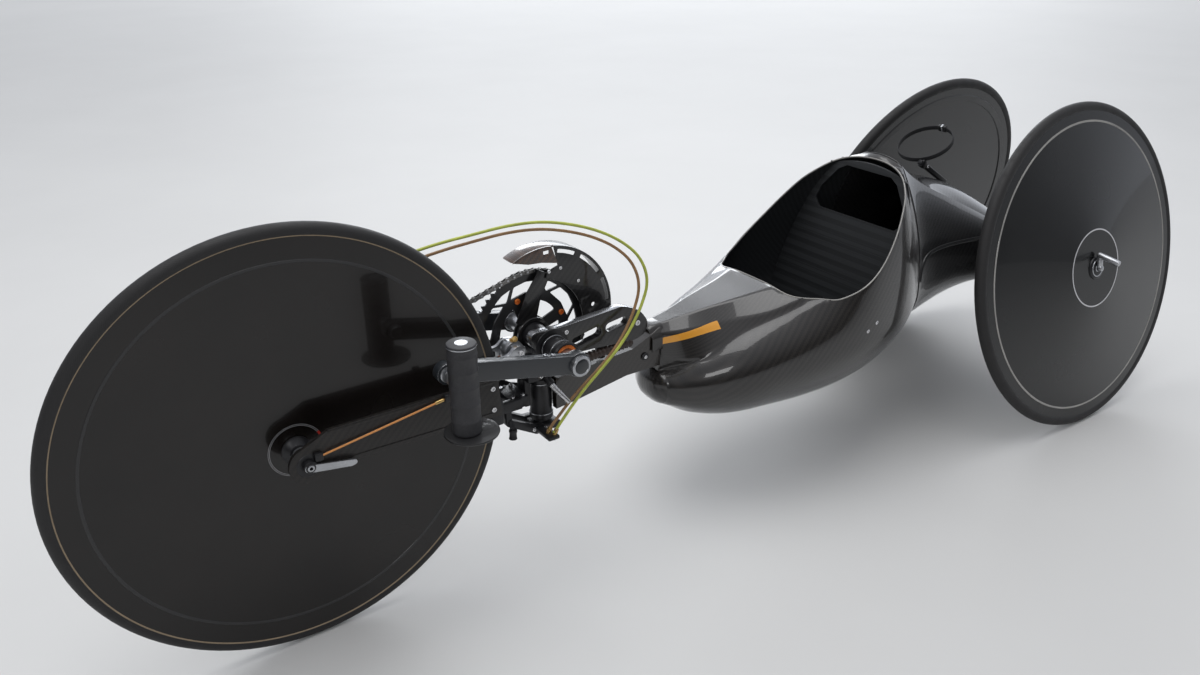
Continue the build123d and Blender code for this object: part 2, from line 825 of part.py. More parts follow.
def make_cable(route):
    points = [(crank_x + x, y, crank_z + z) for x, y, z in route]
    runs = [Vector(*points[i + 1]) - Vector(*points[i]) for i in range(len(points) - 1)]
    radii = []
    for first, second in zip(runs, runs[1:]):
        turn = math.radians(first.get_angle(second))
        radii.append(0.45 * min(first.length, second.length) / math.tan(turn / 2))
    path = FilletPolyline(*points, radius=radii)
    print("cable radii", [round(r) for r in radii], "length", round(path.length))
    plane = Plane(origin=points[0], z_dir=runs[0].normalized())
    return sweep(plane * Circle(cable_r), path=path)


# Strap on the tail, places ahead of the rear axle and heights over the axle line
bar_y = -8.0
bar_r = 5.0
bar_front = (262.0, 206.0)
bar_back = (174.0, 149.0)
loop_y = -38.0
loop_r = 55.0
loop_wire_r = 4.0
loop_centre = (213.0, 230.0)
loop_tilt = 26.0


def make_strap_bar():
    start = (ahead(bar_front[0]), bar_y, over(bar_front[1]))
    end = (ahead(bar_back[0]), bar_y, over(bar_back[1]))
    return rod(start, end, bar_r) - tail_body(tail_sections)


def make_strap_loop():
    ring = Pos(ahead(loop_centre[0]), loop_y, over(loop_centre[1])) * Rot(0, loop_tilt, 0) * Torus(
        loop_r, loop_wire_r)
    return ring - make_strap_bar() - tail_body(tail_sections)


# Grips

def grip_parts():
    x1, z1 = crank_end()
    pin_inner = crank_inner - seat_gap - grip_knob_width
    pin = cross_rod(x1, z1, pin_inner, grip_y, grip_pin_r)
    knob = cross_rod(x1, z1, pin_inner, crank_inner - seat_gap, grip_knob_r)
    low = z1 - grip_height / 2
    handle = rod((x1, grip_y, low), (x1, grip_y, low + grip_height), grip_r)
    plate_x = x1 - grip_plate_back
    plate = rod((plate_x, grip_y, low - grip_plate_depth), (plate_x, grip_y, low), grip_plate_r)
    return handle - pin, plate, pin + knob


def main():
    stub = rear_place(stub_axle())
    stops = make_cable_stops()
    save(make_tub(), "tub_shell")
    save(make_tail(), "tail_fairing")
    save(make_bulkhead(), "seat_bulkhead")
    save(make_axle_beam() - stub - mirrored(stub), "axle_beam")
    sides = (("left", lambda part: part), ("right", mirrored))
    for side, turn in sides:
        save(turn(stub), f"stub_axle_{side}")
        save(turn(rear_place(tyre())), f"rear_tyre_{side}")
        save(turn(rear_place(rear_disc())), f"rear_disc_{side}")
        save(turn(rear_place(rear_hub())), f"rear_hub_{side}")
        save(turn(make_blade()), f"fork_blade_{side}")
        save(turn(make_crank_arm()), f"crank_arm_{side}")
        for part, name in zip(grip_parts(), ("grip_handle", "grip_plate", "grip_pin")):
            save(turn(part), f"{name}_{side}")
    save(front_place(tyre()), "front_tyre")
    save(front_place(front_disc()), "front_disc")
    save(front_place(front_hub()), "front_hub")
    save(front_place(make_cassette()), "cassette")
    save(make_front_axle(), "front_axle")
    save(make_beam(), "nose_beam")
    save(make_head_tube(), "head_tube")
    save(make_steerer(), "steerer")
    save(make_yoke_top(), "yoke_top")
    save(make_yoke_low(), "yoke_low")
    save(make_crown(), "fork_crown")
    save(make_arm(), "slotted_arm")
    save(make_rubber(), "centring_rubber")
    save(housing_solid() - axle_way(), "crank_housing")
    save(make_cup(housing_left, housing_left + cup_width), "bearing_cup_left")
    save(make_cup(housing_right - cup_width, housing_right), "bearing_cup_right")
    save(make_crank_axle(), "crank_axle")
    save(make_chainring(), "chainring")
    save(make_chain(), "chain")
    save(make_guard(), "chain_guard")
    save(make_caliper(), "brake_caliper")
    save(make_derailleur(), "derailleur")
    save(make_cable(yellow_route) - stops, "cable_yellow")
    save(make_cable(brown_route) - stops, "cable_brown")
    save(make_orange_wire() - stops, "cable_orange")
    save(stops, "cable_stops")
    save(make_strap_bar(), "strap_bar")
    save(make_strap_loop(), "strap_loop")


main()
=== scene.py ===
import math

import bmesh
import bpy
from mathutils import Matrix, Vector


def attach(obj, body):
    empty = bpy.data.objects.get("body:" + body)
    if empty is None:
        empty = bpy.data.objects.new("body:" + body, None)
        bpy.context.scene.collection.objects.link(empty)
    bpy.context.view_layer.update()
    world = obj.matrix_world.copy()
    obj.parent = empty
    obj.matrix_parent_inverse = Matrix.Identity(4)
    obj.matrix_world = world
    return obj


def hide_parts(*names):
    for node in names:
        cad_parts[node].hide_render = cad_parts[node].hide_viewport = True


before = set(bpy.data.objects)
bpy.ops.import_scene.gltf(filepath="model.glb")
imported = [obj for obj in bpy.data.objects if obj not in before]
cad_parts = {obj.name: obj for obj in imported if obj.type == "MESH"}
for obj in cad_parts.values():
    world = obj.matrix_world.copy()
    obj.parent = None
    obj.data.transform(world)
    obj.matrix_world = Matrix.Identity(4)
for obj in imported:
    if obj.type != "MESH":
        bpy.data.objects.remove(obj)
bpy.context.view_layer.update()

MM = 0.001
CRANK = (372.0, 389.0)
AXLE = (793.0, 334.0)
HEAD_X = 379.0
REAR_X = -793.0
WHEEL_R = 334.0
TYRE_R = 11.5
HALF_TRACK = 291.0
CAMBER = math.radians(12.5)
RING = WHEEL_R - TYRE_R
REAR_Y = HALF_TRACK - RING * math.sin(CAMBER)
REAR_Z = RING * math.cos(CAMBER) + TYRE_R
# Centre and lean of each wheel
FRONT_WHEEL = ((AXLE[0], 0.0, AXLE[1]), 0.0)
LEFT_WHEEL = ((REAR_X, REAR_Y, REAR_Z), CAMBER)
RIGHT_WHEEL = ((REAR_X, -REAR_Y, REAR_Z), -CAMBER)
SIDE_NAMES = {1: "left", -1: "right"}


# Camera

def place_camera():
    look = Vector((-0.50837, -0.75120, -0.42102))
    data = bpy.data.cameras.new("camera")
    data.lens = 30.6
    data.sensor_width = 36.0
    data.clip_start = 0.01
    camera = bpy.data.objects.new("camera", data)
    bpy.context.scene.collection.objects.link(camera)
    turn = look.to_track_quat("-Z", "Y").to_matrix().to_4x4()
    roll = Matrix.Rotation(math.radians(-0.55), 4, "Z")
    camera.matrix_world = Matrix.Translation((1.137, 1.298, 1.091)) @ turn @ roll
    bpy.context.scene.camera = camera


place_camera()


# Node helpers

def new_material(name):
    material = bpy.data.materials.new(name)
    material.use_nodes = True
    tree = material.node_tree
    tree.nodes.clear()
    out = tree.nodes.new("ShaderNodeOutputMaterial")
    shader = tree.nodes.new("ShaderNodeBsdfPrincipled")
    tree.links.new(shader.outputs[0], out.inputs[0])
    return material, tree, shader


def plug(tree, value, socket):
    if isinstance(value, bpy.types.NodeSocket):
        tree.links.new(value, socket)
    else:
        socket.default_value = value


def calc(tree, kind, first, second=0.0):
    node = tree.nodes.new("ShaderNodeMath")
    node.operation = kind
    plug(tree, first, node.inputs[0])
    plug(tree, second, node.inputs[1])
    return node.outputs[0]


def times(tree, first, second):
    return calc(tree, "MULTIPLY", first, second)


def plus(tree, first, second):
    return calc(tree, "ADD", first, second)


def minus(tree, first, second):
    return calc(tree, "SUBTRACT", first, second)


def sine(tree, value):
    return calc(tree, "SINE", value)


def spread(tree, value, low, high, to_low, to_high):
    node = tree.nodes.new("ShaderNodeMapRange")
    plug(tree, value, node.inputs["Value"])
    node.inputs["From Min"].default_value = low
    node.inputs["From Max"].default_value = high
    node.inputs["To Min"].default_value = to_low
    node.inputs["To Max"].default_value = to_high
    return node.outputs["Result"]


def blend_colours(tree, share, first, second):
    node = tree.nodes.new("ShaderNodeMix")
    node.data_type = "RGBA"
    plug(tree, share, node.inputs[0])
    plug(tree, first if isinstance(first, bpy.types.NodeSocket) else (*first, 1.0), node.inputs[6])
    plug(tree, second if isinstance(second, bpy.types.NodeSocket) else (*second, 1.0), node.inputs[7])
    return node.outputs[2]


def object_place(tree):
    return tree.nodes.new("ShaderNodeTexCoord").outputs["Object"]


def parts_of(tree, vector):
    node = tree.nodes.new("ShaderNodeSeparateXYZ")
    plug(tree, vector, node.inputs[0])
    return node.outputs


def joined(tree, x, y, z):
    node = tree.nodes.new("ShaderNodeCombineXYZ")
    plug(tree, x, node.inputs[0])
    plug(tree, y, node.inputs[1])
    plug(tree, z, node.inputs[2])
    return node.outputs[0]


def noise(tree, vector, scale, detail=2.0, roughness=0.5):
    node = tree.nodes.new("ShaderNodeTexNoise")
    plug(tree, vector, node.inputs["Vector"])
    node.inputs["Scale"].default_value = scale
    node.inputs["Detail"].default_value = detail
    node.inputs["Roughness"].default_value = roughness
    return node.outputs[0]


def bumped(tree, height, strength, distance):
    node = tree.nodes.new("ShaderNodeBump")
    node.inputs["Strength"].default_value = strength
    node.inputs["Distance"].default_value = distance
    plug(tree, height, node.inputs["Height"])
    return node.outputs[0]


def shade(colour, factor):
    return tuple(min(1.0, c * factor) for c in colour)


def mottled(tree, pattern, low, high, colour, dark, light):
    """A colour between two shades of itself, by the middle range of a pattern."""
    share = spread(tree, pattern, low, high, 0.0, 1.0)
    return blend_colours(tree, share, shade(colour, dark), shade(colour, light))


# Finishes

def hard_finish(name, colour, rough, metal=0.0, coat=0.0, mottle=0.15, grain=900.0, bump=0.15, cloud=14.0):
    """A metal, paint or plastic: faint clouds in its colour and roughness, and a fine grain."""
    material, tree, shader = new_material(name)
    place = object_place(tree)
    clouds = noise(tree, place, cloud, 4.0, 0.6)
    fine = noise(tree, place, grain, 3.0, 0.6)
    tint = mottled(tree, clouds, 0.3, 0.7, colour, 1.0 - mottle, 1.0 + mottle)
    plug(tree, tint, shader.inputs["Base Color"])
    plug(tree, spread(tree, clouds, 0.25, 0.75, rough * 0.82, rough * 1.2), shader.inputs["Roughness"])
    plug(tree, bumped(tree, fine, bump, 0.0002), shader.inputs["Normal"])
    shader.inputs["Metallic"].default_value = metal
    shader.inputs["Coat Weight"].default_value = coat
    shader.inputs["Coat Roughness"].default_value = 0.06
    return material


def twill_pattern(tree, along, across, tow):
    """Mask, height and sheen streaks of a two by two twill, from two surface distances."""
    u = calc(tree, "DIVIDE", along, tow)
    v = calc(tree, "DIVIDE", across, tow)
    diagonal = plus(tree, calc(tree, "FLOOR", u), calc(tree, "FLOOR", v))
    mask = calc(tree, "LESS_THAN", calc(tree, "FLOORED_MODULO", diagonal, 4.0), 1.5)
    warp = sine(tree, times(tree, calc(tree, "FRACT", v), math.pi))
    weft = sine(tree, times(tree, calc(tree, "FRACT", u), math.pi))

    def by_mask(first, second):
        return plus(tree, times(tree, first, mask), times(tree, second, minus(tree, 1.0, mask)))

    def streaked(share_u, share_v):
        return noise(tree, joined(tree, times(tree, u, share_u), times(tree, v, share_v), 0.0), 1.0)

    height = by_mask(warp, weft)
    sheen_streak = by_mask(streaked(0.4, 9.0), streaked(9.0, 0.4))
    return mask, height, sheen_streak


TOW = 0.0032


def carbon_finish(name, dark, light, rough, coat, around=None, coat_rough=0.05):
    """Woven carbon: flat twill in the side view, or laid round a fore-and-aft line at a height, with painted
    sheen.
    """
    material, tree, shader = new_material(name)
    shader.inputs["Specular IOR Level"].default_value = 0.35
    place = object_place(tree)
    x, y, z = parts_of(tree, place)
    if around is None:
        across = z
    else:
        height, radius = around
        across = times(tree, calc(tree, "ARCTAN2", minus(tree, z, height), y), radius)
    mask, bulge, sheen_streak = twill_pattern(tree, x, across, TOW)
    # Painted sheen: warp-on-top tows lighter than weft-on-top ones, with lighter streaks along the tows; the
    # weave's layout and the clouds are the carbon's own tone.
    share = plus(tree, times(tree, mask, 0.62), times(tree, sheen_streak, 0.45))
    clouds = noise(tree, place, 6.0, 3.0, 0.55)
    share = times(tree, share, spread(tree, clouds, 0.3, 0.7, 0.7, 1.1))
    plug(tree, blend_colours(tree, share, dark, light), shader.inputs["Base Color"])
    plug(tree, spread(tree, sheen_streak, 0.2, 0.8, rough * 0.8, rough * 1.25), shader.inputs["Roughness"])
    plug(tree, bumped(tree, bulge, 0.14, 0.0003), shader.inputs["Normal"])
    shader.inputs["Coat Weight"].default_value = coat
    shader.inputs["Coat Roughness"].default_value = coat_rough
    return material


def radial(tree, wheel):
    """Distance from a wheel's axis and the angle round it, on object coordinates."""
    centre, lean = wheel
    x, y, z = parts_of(tree, object_place(tree))
    cx, cy, cz = (c * MM for c in centre)
    dx = minus(tree, x, cx)
    dy = minus(tree, y, cy)
    dz = minus(tree, z, cz)
    up = plus(tree, times(tree, dy, -math.sin(lean)), times(tree, dz, math.cos(lean)))
    square = plus(tree, times(tree, dx, dx), times(tree, up, up))
    return calc(tree, "SQRT", square), calc(tree, "ARCTAN2", up, dx)


def inside(tree, value, low, high):
    return times(tree, calc(tree, "GREATER_THAN", value, low), calc(tree, "LESS_THAN", value, high))


def tyre_finish(name, wheel, wall):
    """Fine file tread on the crown, a cloth sidewall inside it."""
    material, tree, shader = new_material(name)
    reach, angle = radial(tree, wheel)
    place = object_place(tree)
    side = inside(tree, reach, 0.3105, 0.3178)
    rough = noise(tree, place, 55.0, 4.0, 0.7)
    tread = blend_colours(tree, rough, (0.008, 0.008, 0.009), (0.022, 0.021, 0.021))
    cloth = blend_colours(tree, rough, shade(wall, 0.6), shade(wall, 1.25))
    plug(tree, blend_colours(tree, side, tread, cloth), shader.inputs["Base Color"])
    plug(tree, spread(tree, rough, 0.2, 0.8, 0.5, 0.78), shader.inputs["Roughness"])
    ribs = sine(tree, times(tree, angle, 520.0))
    rings = sine(tree, times(tree, reach, 2600.0))
    tread_height = times(tree, ribs, rings)
    plug(tree, bumped(tree, tread_height, 0.25, 0.0003), shader.inputs["Normal"])
    return material


def disc_finish(name, wheel, colour, marks):
    """Smooth lacquered disc with faint patches and thin rings."""
    material, tree, shader = new_material(name)
    reach, angle = radial(tree, wheel)
    place = object_place(tree)
    patches = noise(tree, place, 5.0, 3.0, 0.6)
    tint = mottled(tree, patches, 0.35, 0.65, colour, 0.7, 1.3)
    for r0, r1, a0, a1, band_colour in marks:
        band = inside(tree, reach, r0 * MM, r1 * MM)
        mask = times(tree, band, inside(tree, angle, math.radians(a0), math.radians(a1)))
        tint = blend_colours(tree, mask, tint, band_colour)
    plug(tree, tint, shader.inputs["Base Color"])
    plug(tree, spread(tree, patches, 0.3, 0.7, 0.24 * 0.85, 0.24 * 1.2), shader.inputs["Roughness"])
    ripple = noise(tree, place, 9.0, 2.0, 0.5)
    plug(tree, bumped(tree, ripple, 0.12, 0.002), shader.inputs["Normal"])
    shader.inputs["Specular IOR Level"].default_value = 0.25
    shader.inputs["Coat Weight"].default_value = 0.45
    shader.inputs["Coat Roughness"].default_value = 0.05
    return material


def webbing_finish(name, colour):
    material, tree, shader = new_material(name)
    place = object_place(tree)
    x, y, z = parts_of(tree, place)
    cross = times(tree, sine(tree, times(tree, x, 3600.0)), sine(tree, times(tree, plus(tree, y, z), 3600.0)))
    fuzz = noise(tree, place, 500.0, 3.0, 0.7)
    plug(tree, blend_colours(tree, fuzz, shade(colour, 0.6), shade(colour, 1.6)), shader.inputs["Base Color"])
    shader.inputs["Roughness"].default_value = 0.85
    plug(tree, bumped(tree, cross, 0.6, 0.0004), shader.inputs["Normal"])
    return material


def tape_finish(name, colour):
    """Wrapped grip tape: bands round the grip, with a rubbed, speckled face."""
    material, tree, shader = new_material(name)
    place = object_place(tree)
    x, _, z = parts_of(tree, place)
    speck = noise(tree, place, 260.0, 4.0, 0.7)
    patch = noise(tree, place, 22.0, 3.0, 0.6)
    plug(tree, blend_colours(tree, times(tree, speck, patch), shade(colour, 0.5), shade(colour, 2.4)),
         shader.inputs["Base Color"])
    plug(tree, spread(tree, patch, 0.3, 0.7, 0.42, 0.68), shader.inputs["Roughness"])
    wrap = calc(tree, "PINGPONG", plus(tree, times(tree, z, 30.0), times(tree, x, 3.0)), 0.5)
    height = plus(tree, wrap, times(tree, speck, 0.2))
    plug(tree, bumped(tree, height, 0.35, 0.0008), shader.inputs["Normal"])
    return material


def cable_finish(name, colour):
    material, tree, shader = new_material(name)
    place = object_place(tree)
    dirt = noise(tree, place, 38.0, 4.0, 0.7)
    fine = noise(tree, place, 900.0, 2.0, 0.5)
    plug(tree, mottled(tree, dirt, 0.3, 0.72, colour, 0.72, 1.12), shader.inputs["Base Color"])
    plug(tree, spread(tree, dirt, 0.3, 0.7, 0.42 * 0.8, 0.42 * 1.25), shader.inputs["Roughness"])
    plug(tree, bumped(tree, fine, 0.15, 0.0002), shader.inputs["Normal"])
    return material


def striped(material, band_colour):
    """Adds a plain stripe on the left side of the nose."""
    tree = material.node_tree
    shader = next(n for n in tree.nodes if n.type == "BSDF_PRINCIPLED")
    base = shader.inputs["Base Color"].links[0].from_socket
    x, y, z = parts_of(tree, object_place(tree))
    line = minus(tree, z, spread(tree, x, 0.047, 0.147, 0.353, 0.337))
    mask = times(tree, inside(tree, line, -0.006, 0.006), inside(tree, x, 0.045, 0.146))
    mask = times(tree, mask, calc(tree, "GREATER_THAN", y, 0.0))
    plug(tree, blend_colours(tree, mask, base, band_colour), shader.inputs["Base Color"])
    return material


tub_carbon = carbon_finish("tub_carbon", (0.007, 0.0065, 0.0065), (0.024, 0.021, 0.019), 0.3, 0.9,
                           around=(0.33, 0.15))
tub_carbon = striped(tub_carbon, (0.75, 0.33, 0.03))
inside_carbon = carbon_finish("inside_carbon", (0.010, 0.011, 0.012), (0.020, 0.022, 0.024), 0.5, 0.1,
                              around=(0.33, 0.15), coat_rough=0.3)
tail_carbon = carbon_finish("tail_carbon", (0.012, 0.012, 0.013), (0.028, 0.028, 0.029), 0.3, 1.0,
                            around=(0.42, 0.12))
flat_carbon = carbon_finish("flat_carbon", (0.006, 0.006, 0.007), (0.020, 0.019, 0.019), 0.32, 0.6)
satin_carbon = carbon_finish("satin_carbon", (0.007, 0.006, 0.006), (0.017, 0.014, 0.012), 0.45, 0.2,
                             coat_rough=0.2)
seat_carbon = carbon_finish("seat_carbon", (0.010, 0.011, 0.012), (0.024, 0.026, 0.028), 0.5, 0.1,
                            coat_rough=0.3)
horn_carbon = carbon_finish("horn_carbon", (0.022, 0.010, 0.006), (0.085, 0.040, 0.022), 0.28, 1.0)
beam_carbon = carbon_finish("beam_carbon", (0.008, 0.006, 0.005), (0.020, 0.015, 0.012), 0.3, 0.9)
arm_black = hard_finish("arm_black", (0.016, 0.019, 0.023), 0.36, coat=0.35, mottle=0.2)
black_metal = hard_finish("black_metal", (0.018, 0.018, 0.020), 0.34, metal=0.35)
satin_black = hard_finish("satin_black", (0.012, 0.012, 0.013), 0.42, coat=0.3, mottle=0.25)
edge_metal = hard_finish("edge_metal", (0.42, 0.43, 0.45), 0.26, metal=0.9, mottle=0.2)
grey_metal = hard_finish("grey_metal", (0.46, 0.47, 0.49), 0.3, metal=0.95, mottle=0.18, grain=1500.0)
bright_steel = hard_finish("bright_steel", (0.62, 0.62, 0.63), 0.2, metal=1.0, mottle=0.12, grain=1800.0)
brown_metal = hard_finish("brown_metal", (0.10, 0.085, 0.075), 0.42, metal=0.5, mottle=0.3)
orange_metal = hard_finish("orange_metal", (0.78, 0.20, 0.035), 0.28, metal=0.55, mottle=0.2)
brass = hard_finish("brass", (0.62, 0.42, 0.16), 0.28, metal=0.9, mottle=0.25)
chain_steel = hard_finish("chain_steel", (0.16, 0.155, 0.15), 0.33, metal=0.9, mottle=0.4, cloud=60.0)
soft_rubber = hard_finish("soft_rubber", (0.016, 0.016, 0.017), 0.6, mottle=0.3, bump=0.4)
gaiter_rubber = hard_finish("gaiter_rubber", (0.030, 0.018, 0.014), 0.5, coat=0.2, mottle=0.3, bump=0.4)
pale_edge = hard_finish("pale_edge", (0.30, 0.29, 0.27), 0.35, coat=0.4, mottle=0.25)
wall_tan = (0.30, 0.23, 0.15)
wall_black = (0.022, 0.022, 0.023)
front_tyre_finish = tyre_finish("front_tyre_rubber", FRONT_WHEEL, wall_tan)
left_tyre_finish = tyre_finish("left_tyre_rubber", LEFT_WHEEL, wall_black)
right_tyre_finish = tyre_finish("right_tyre_rubber", RIGHT_WHEEL, wall_black)
grey_ink = (0.30, 0.30, 0.31)
red_ink = (0.42, 0.03, 0.02)
# Inner and outer radius in mm, first and last angle, colour
front_marks = ((38.2, 38.9, -180, 180, grey_ink), (40.2, 40.9, -180, 180, grey_ink),
               (37.8, 41.3, 150, 180, red_ink), (37.8, 41.3, -180, -170, red_ink))
front_disc_finish = disc_finish("front_disc_lacquer", FRONT_WHEEL, (0.0085, 0.0068, 0.0060), front_marks)
# A pale ring round each rear disc at the edge of its boss.
rear_pale_rings = ((77.8, 80.6, -180, 180, (0.62, 0.62, 0.64)),)
left_disc_finish = disc_finish("left_disc_lacquer", LEFT_WHEEL, (0.0045, 0.0048, 0.0052), rear_pale_rings)
right_disc_finish = disc_finish("right_disc_lacquer", RIGHT_WHEEL, (0.007, 0.0075, 0.0085), rear_pale_rings)
webbing = webbing_finish("strap_webbing", (0.020, 0.020, 0.022))
grip_tape = tape_finish("grip_tape", (0.030, 0.030, 0.033))
cable_green = cable_finish("cable_green", (0.46, 0.52, 0.08))
cable_brown = cable_finish("cable_brown", (0.34, 0.19, 0.085))
cable_orange = cable_finish("cable_orange", (0.72, 0.30, 0.08))


# Cords, the same route points as in the part's source

def on_crank(x, y, z):
    """Place in metres of a route point, which is counted in mm from the middle of the crank's axis."""
    return (x * MM + 0.372, y * MM, z * MM + 0.389)


def cord_curve(name, route, diameter, finish):
    curve = bpy.data.curves.new(name, "CURVE")
    curve.dimensions = "3D"
    curve.bevel_depth = diameter / 2
    curve.bevel_resolution = 5
    curve.resolution_u = 12
    curve.use_fill_caps = True
    spline = curve.splines.new("NURBS")
    spline.points.add(len(route) - 1)
    for point, place in zip(spline.points, route):
        point.co = (*on_crank(*place), 1.0)
    spline.order_u = 3
    spline.use_endpoint_u = True
    curve.materials.append(finish)
    obj = bpy.data.objects.new(name, curve)
    bpy.context.scene.collection.objects.link(obj)
    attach(obj, "fork")
    return obj


YELLOW_ROUTE = [(21, 62, -137), (-5, 62, -108), (-39, 62, -75), (-75, 62, -47), (-107, 61, -22),
                (-135, 59, 7), (-161, 54, 41), (-179, 48, 79), (-169, 39, 119), (-143, 25, 147),
                (-107, 10, 169), (-63, -4, 185), (-15, -22, 194), (35, -41, 191), (85, -55, 183),
                (137, -63, 178), (189, -71, 169), (239, -77, 149), (285, -82, 119), (323, -86, 81),
                (347, -88, 39), (359, -89, -1), (361, -90, -23)]
BROWN_ROUTE = [(27, 52, -137), (1, 53, -110), (-33, 54, -79), (-70, 55, -53), (-102, 54, -28),
               (-128, 52, 0), (-151, 47, 33), (-167, 41, 71), (-159, 32, 109), (-135, 19, 137),
               (-101, 5, 158), (-59, -9, 173), (-14, -26, 181), (34, -43, 179), (83, -57, 171),
               (135, -66, 164), (186, -74, 154), (235, -81, 134), (280, -87, 103), (316, -92, 64),
               (338, -95, 22), (349, -97, -18), (351, -98, -40)]
yellow_cord = cord_curve("brake_cable", YELLOW_ROUTE, 0.005, cable_green)
brown_cord = cord_curve("gear_cable", BROWN_ROUTE, 0.005, cable_brown)
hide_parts("cable_yellow")
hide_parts("cable_brown")


# Shape helpers, in millimetres

def ring_points(cx, cz, radius, count):
    turns = [2 * math.pi * i / count for i in range(count)]
    return [(cx + radius * math.cos(a), cz + radius * math.sin(a)) for a in turns]


def arc_points(cx, cz, radius, first, last, count):
    angles = [math.radians(first + (last - first) * i / count) for i in range(count + 1)]
    return [(cx + radius * math.cos(a), cz + radius * math.sin(a)) for a in angles]


def rounded(points, radius, steps=4):
    """The outline with each corner rounded off."""
    made = []
    count = len(points)
    for i, corner in enumerate(points):
        here = Vector(corner)
        back = Vector(points[i - 1]) - here
        ahead = Vector(points[(i + 1) % count]) - here
        reach = min(radius, 0.45 * back.length, 0.45 * ahead.length)
        a = here + back.normalized() * reach
        b = here + ahead.normalized() * reach
        for k in range(steps + 1):
            t = k / steps
            made.append(tuple(a * (1 - t) ** 2 + here * (2 * t * (1 - t)) + b * t ** 2))
    return made


def slot_points(x0, z0, x1, z1, radius, steps=6):
    turn = math.degrees(math.atan2(z1 - z0, x1 - x0))
    return arc_points(x0, z0, radius, turn + 90, turn + 270, steps) + arc_points(
        x1, z1, radius, turn - 90, turn + 90, steps)


def new_faces(bm, before):
    return [f for f in bm.faces if f not in before]


def soften(bm, faces, width, segments=2, angle=0.6):
    edges = {e for f in faces for e in f.edges}
    rims = [e for e in edges if len(e.link_faces) == 2 and e.calc_face_angle(0.0) > angle]
    bmesh.ops.bevel(bm, geom=rims, offset=width, offset_type="OFFSET", segments=segments, profile=0.5,
                    affect="EDGES", material=-1, clamp_overlap=True)


def paint(faces, index):
    for face in faces:
        face.material_index = index


def add_plate(bm, outline, y0, y1, edge=1.0, holes=(), index=0, segments=2, turn=None):
    """Plate with an outline and holes in the side view, between two y."""
    before = set(bm.faces)
    edges = []
    for loop in (outline, *holes):
        verts = [bm.verts.new((x, y0, z)) for x, z in loop]
        edges += [bm.edges.new((a, b)) for a, b in zip(verts, verts[1:] + verts[:1])]
    filled = bmesh.ops.triangle_fill(bm, use_beauty=True, edges=edges)["geom"]
    faces = [g for g in filled if isinstance(g, bmesh.types.BMFace)]
    grown = bmesh.ops.extrude_face_region(bm, geom=faces)["geom"]
    moved = [g for g in grown if isinstance(g, bmesh.types.BMVert)]
    bmesh.ops.translate(bm, vec=(0, y1 - y0, 0), verts=moved)
    faces = new_faces(bm, before)
    bmesh.ops.recalc_face_normals(bm, faces=faces)
    if edge:
        soften(bm, faces, edge, segments)
    faces = new_faces(bm, before)
    paint(faces, index)
    if turn is not None:
        bmesh.ops.transform(bm, matrix=turn, verts=list({v for f in faces for v in f.verts}))
    return faces


def add_block(bm, low, high, edge=1.0, index=0, segments=2, turn=None):
    before = set(bm.faces)
    size = [b - a for a, b in zip(low, high)]
    middle = [(a + b) / 2 for a, b in zip(low, high)]
    matrix = Matrix.Translation(middle) @ Matrix.Diagonal((*size, 1.0))
    bmesh.ops.create_cube(bm, size=1.0, matrix=matrix)
    if edge:
        soften(bm, new_faces(bm, before), edge, segments)
    faces = new_faces(bm, before)
    paint(faces, index)
    if turn is not None:
        bmesh.ops.transform(bm, matrix=turn, verts=list({v for f in faces for v in f.verts}))
    return faces


def along(start, direction):
    """Matrix that puts a piece made about Z at start, pointing along direction."""
    return Matrix.Translation(start) @ Vector(direction).to_track_quat("Z", "Y").to_matrix().to_4x4()


def about_y(x, z):
    return Matrix.Translation((x, 0, z)) @ Matrix.Rotation(-math.pi / 2, 4, "X")


def add_turned(bm, profile, place, steps=48, index=0):
    """Ring or knob from a half section of (radius, distance along), spun about Z and placed."""
    before = set(bm.faces)
    verts = [bm.verts.new((r, 0, t)) for r, t in profile]
    pairs = list(zip(verts, verts[1:]))
    if profile[0][0] > 0 or profile[-1][0] > 0:
        pairs.append((verts[-1], verts[0]))
    edges = [bm.edges.new(pair) for pair in pairs]
    bmesh.ops.spin(bm, geom=verts + edges, cent=(0, 0, 0), axis=(0, 0, 1), dvec=(0, 0, 0),
                   angle=2 * math.pi, steps=steps, use_merge=True, use_duplicate=False)
    faces = new_faces(bm, before)
    points = list({v for f in faces for v in f.verts})
    bmesh.ops.transform(bm, matrix=place, verts=points)
    bmesh.ops.remove_doubles(bm, verts=points, dist=0.001)
    faces = new_faces(bm, before)
    paint(faces, index)
    return faces


def add_bar(bm, start, end, radius, index=0, steps=16, edge=0.0):
    before = set(bm.faces)
    a, b = Vector(start), Vector(end)
    place = along((a + b) / 2, b - a)
    bmesh.ops.create_cone(bm, cap_ends=True, cap_tris=False, segments=steps, radius1=radius, radius2=radius,
                          depth=(b - a).length, matrix=place)
    if edge:
        soften(bm, new_faces(bm, before), edge, 2, 0.9)
    faces = new_faces(bm, before)
    paint(faces, index)
    return faces


def add_bolt(bm, at, direction, radius, height, index):
    """Round head with a six-sided socket."""
    head = [(radius * 0.52, height), (radius * 0.88, height), (radius, height * 0.8), (radius, -0.6),
            (radius * 0.52, -0.6)]
    add_turned(bm, head, along(at, direction), 18, index)
    socket = [(0, height * 0.3), (radius * 0.58, height * 0.3), (radius * 0.58, -0.5), (0, -0.5)]
    add_turned(bm, socket, along(at, direction), 6, index)


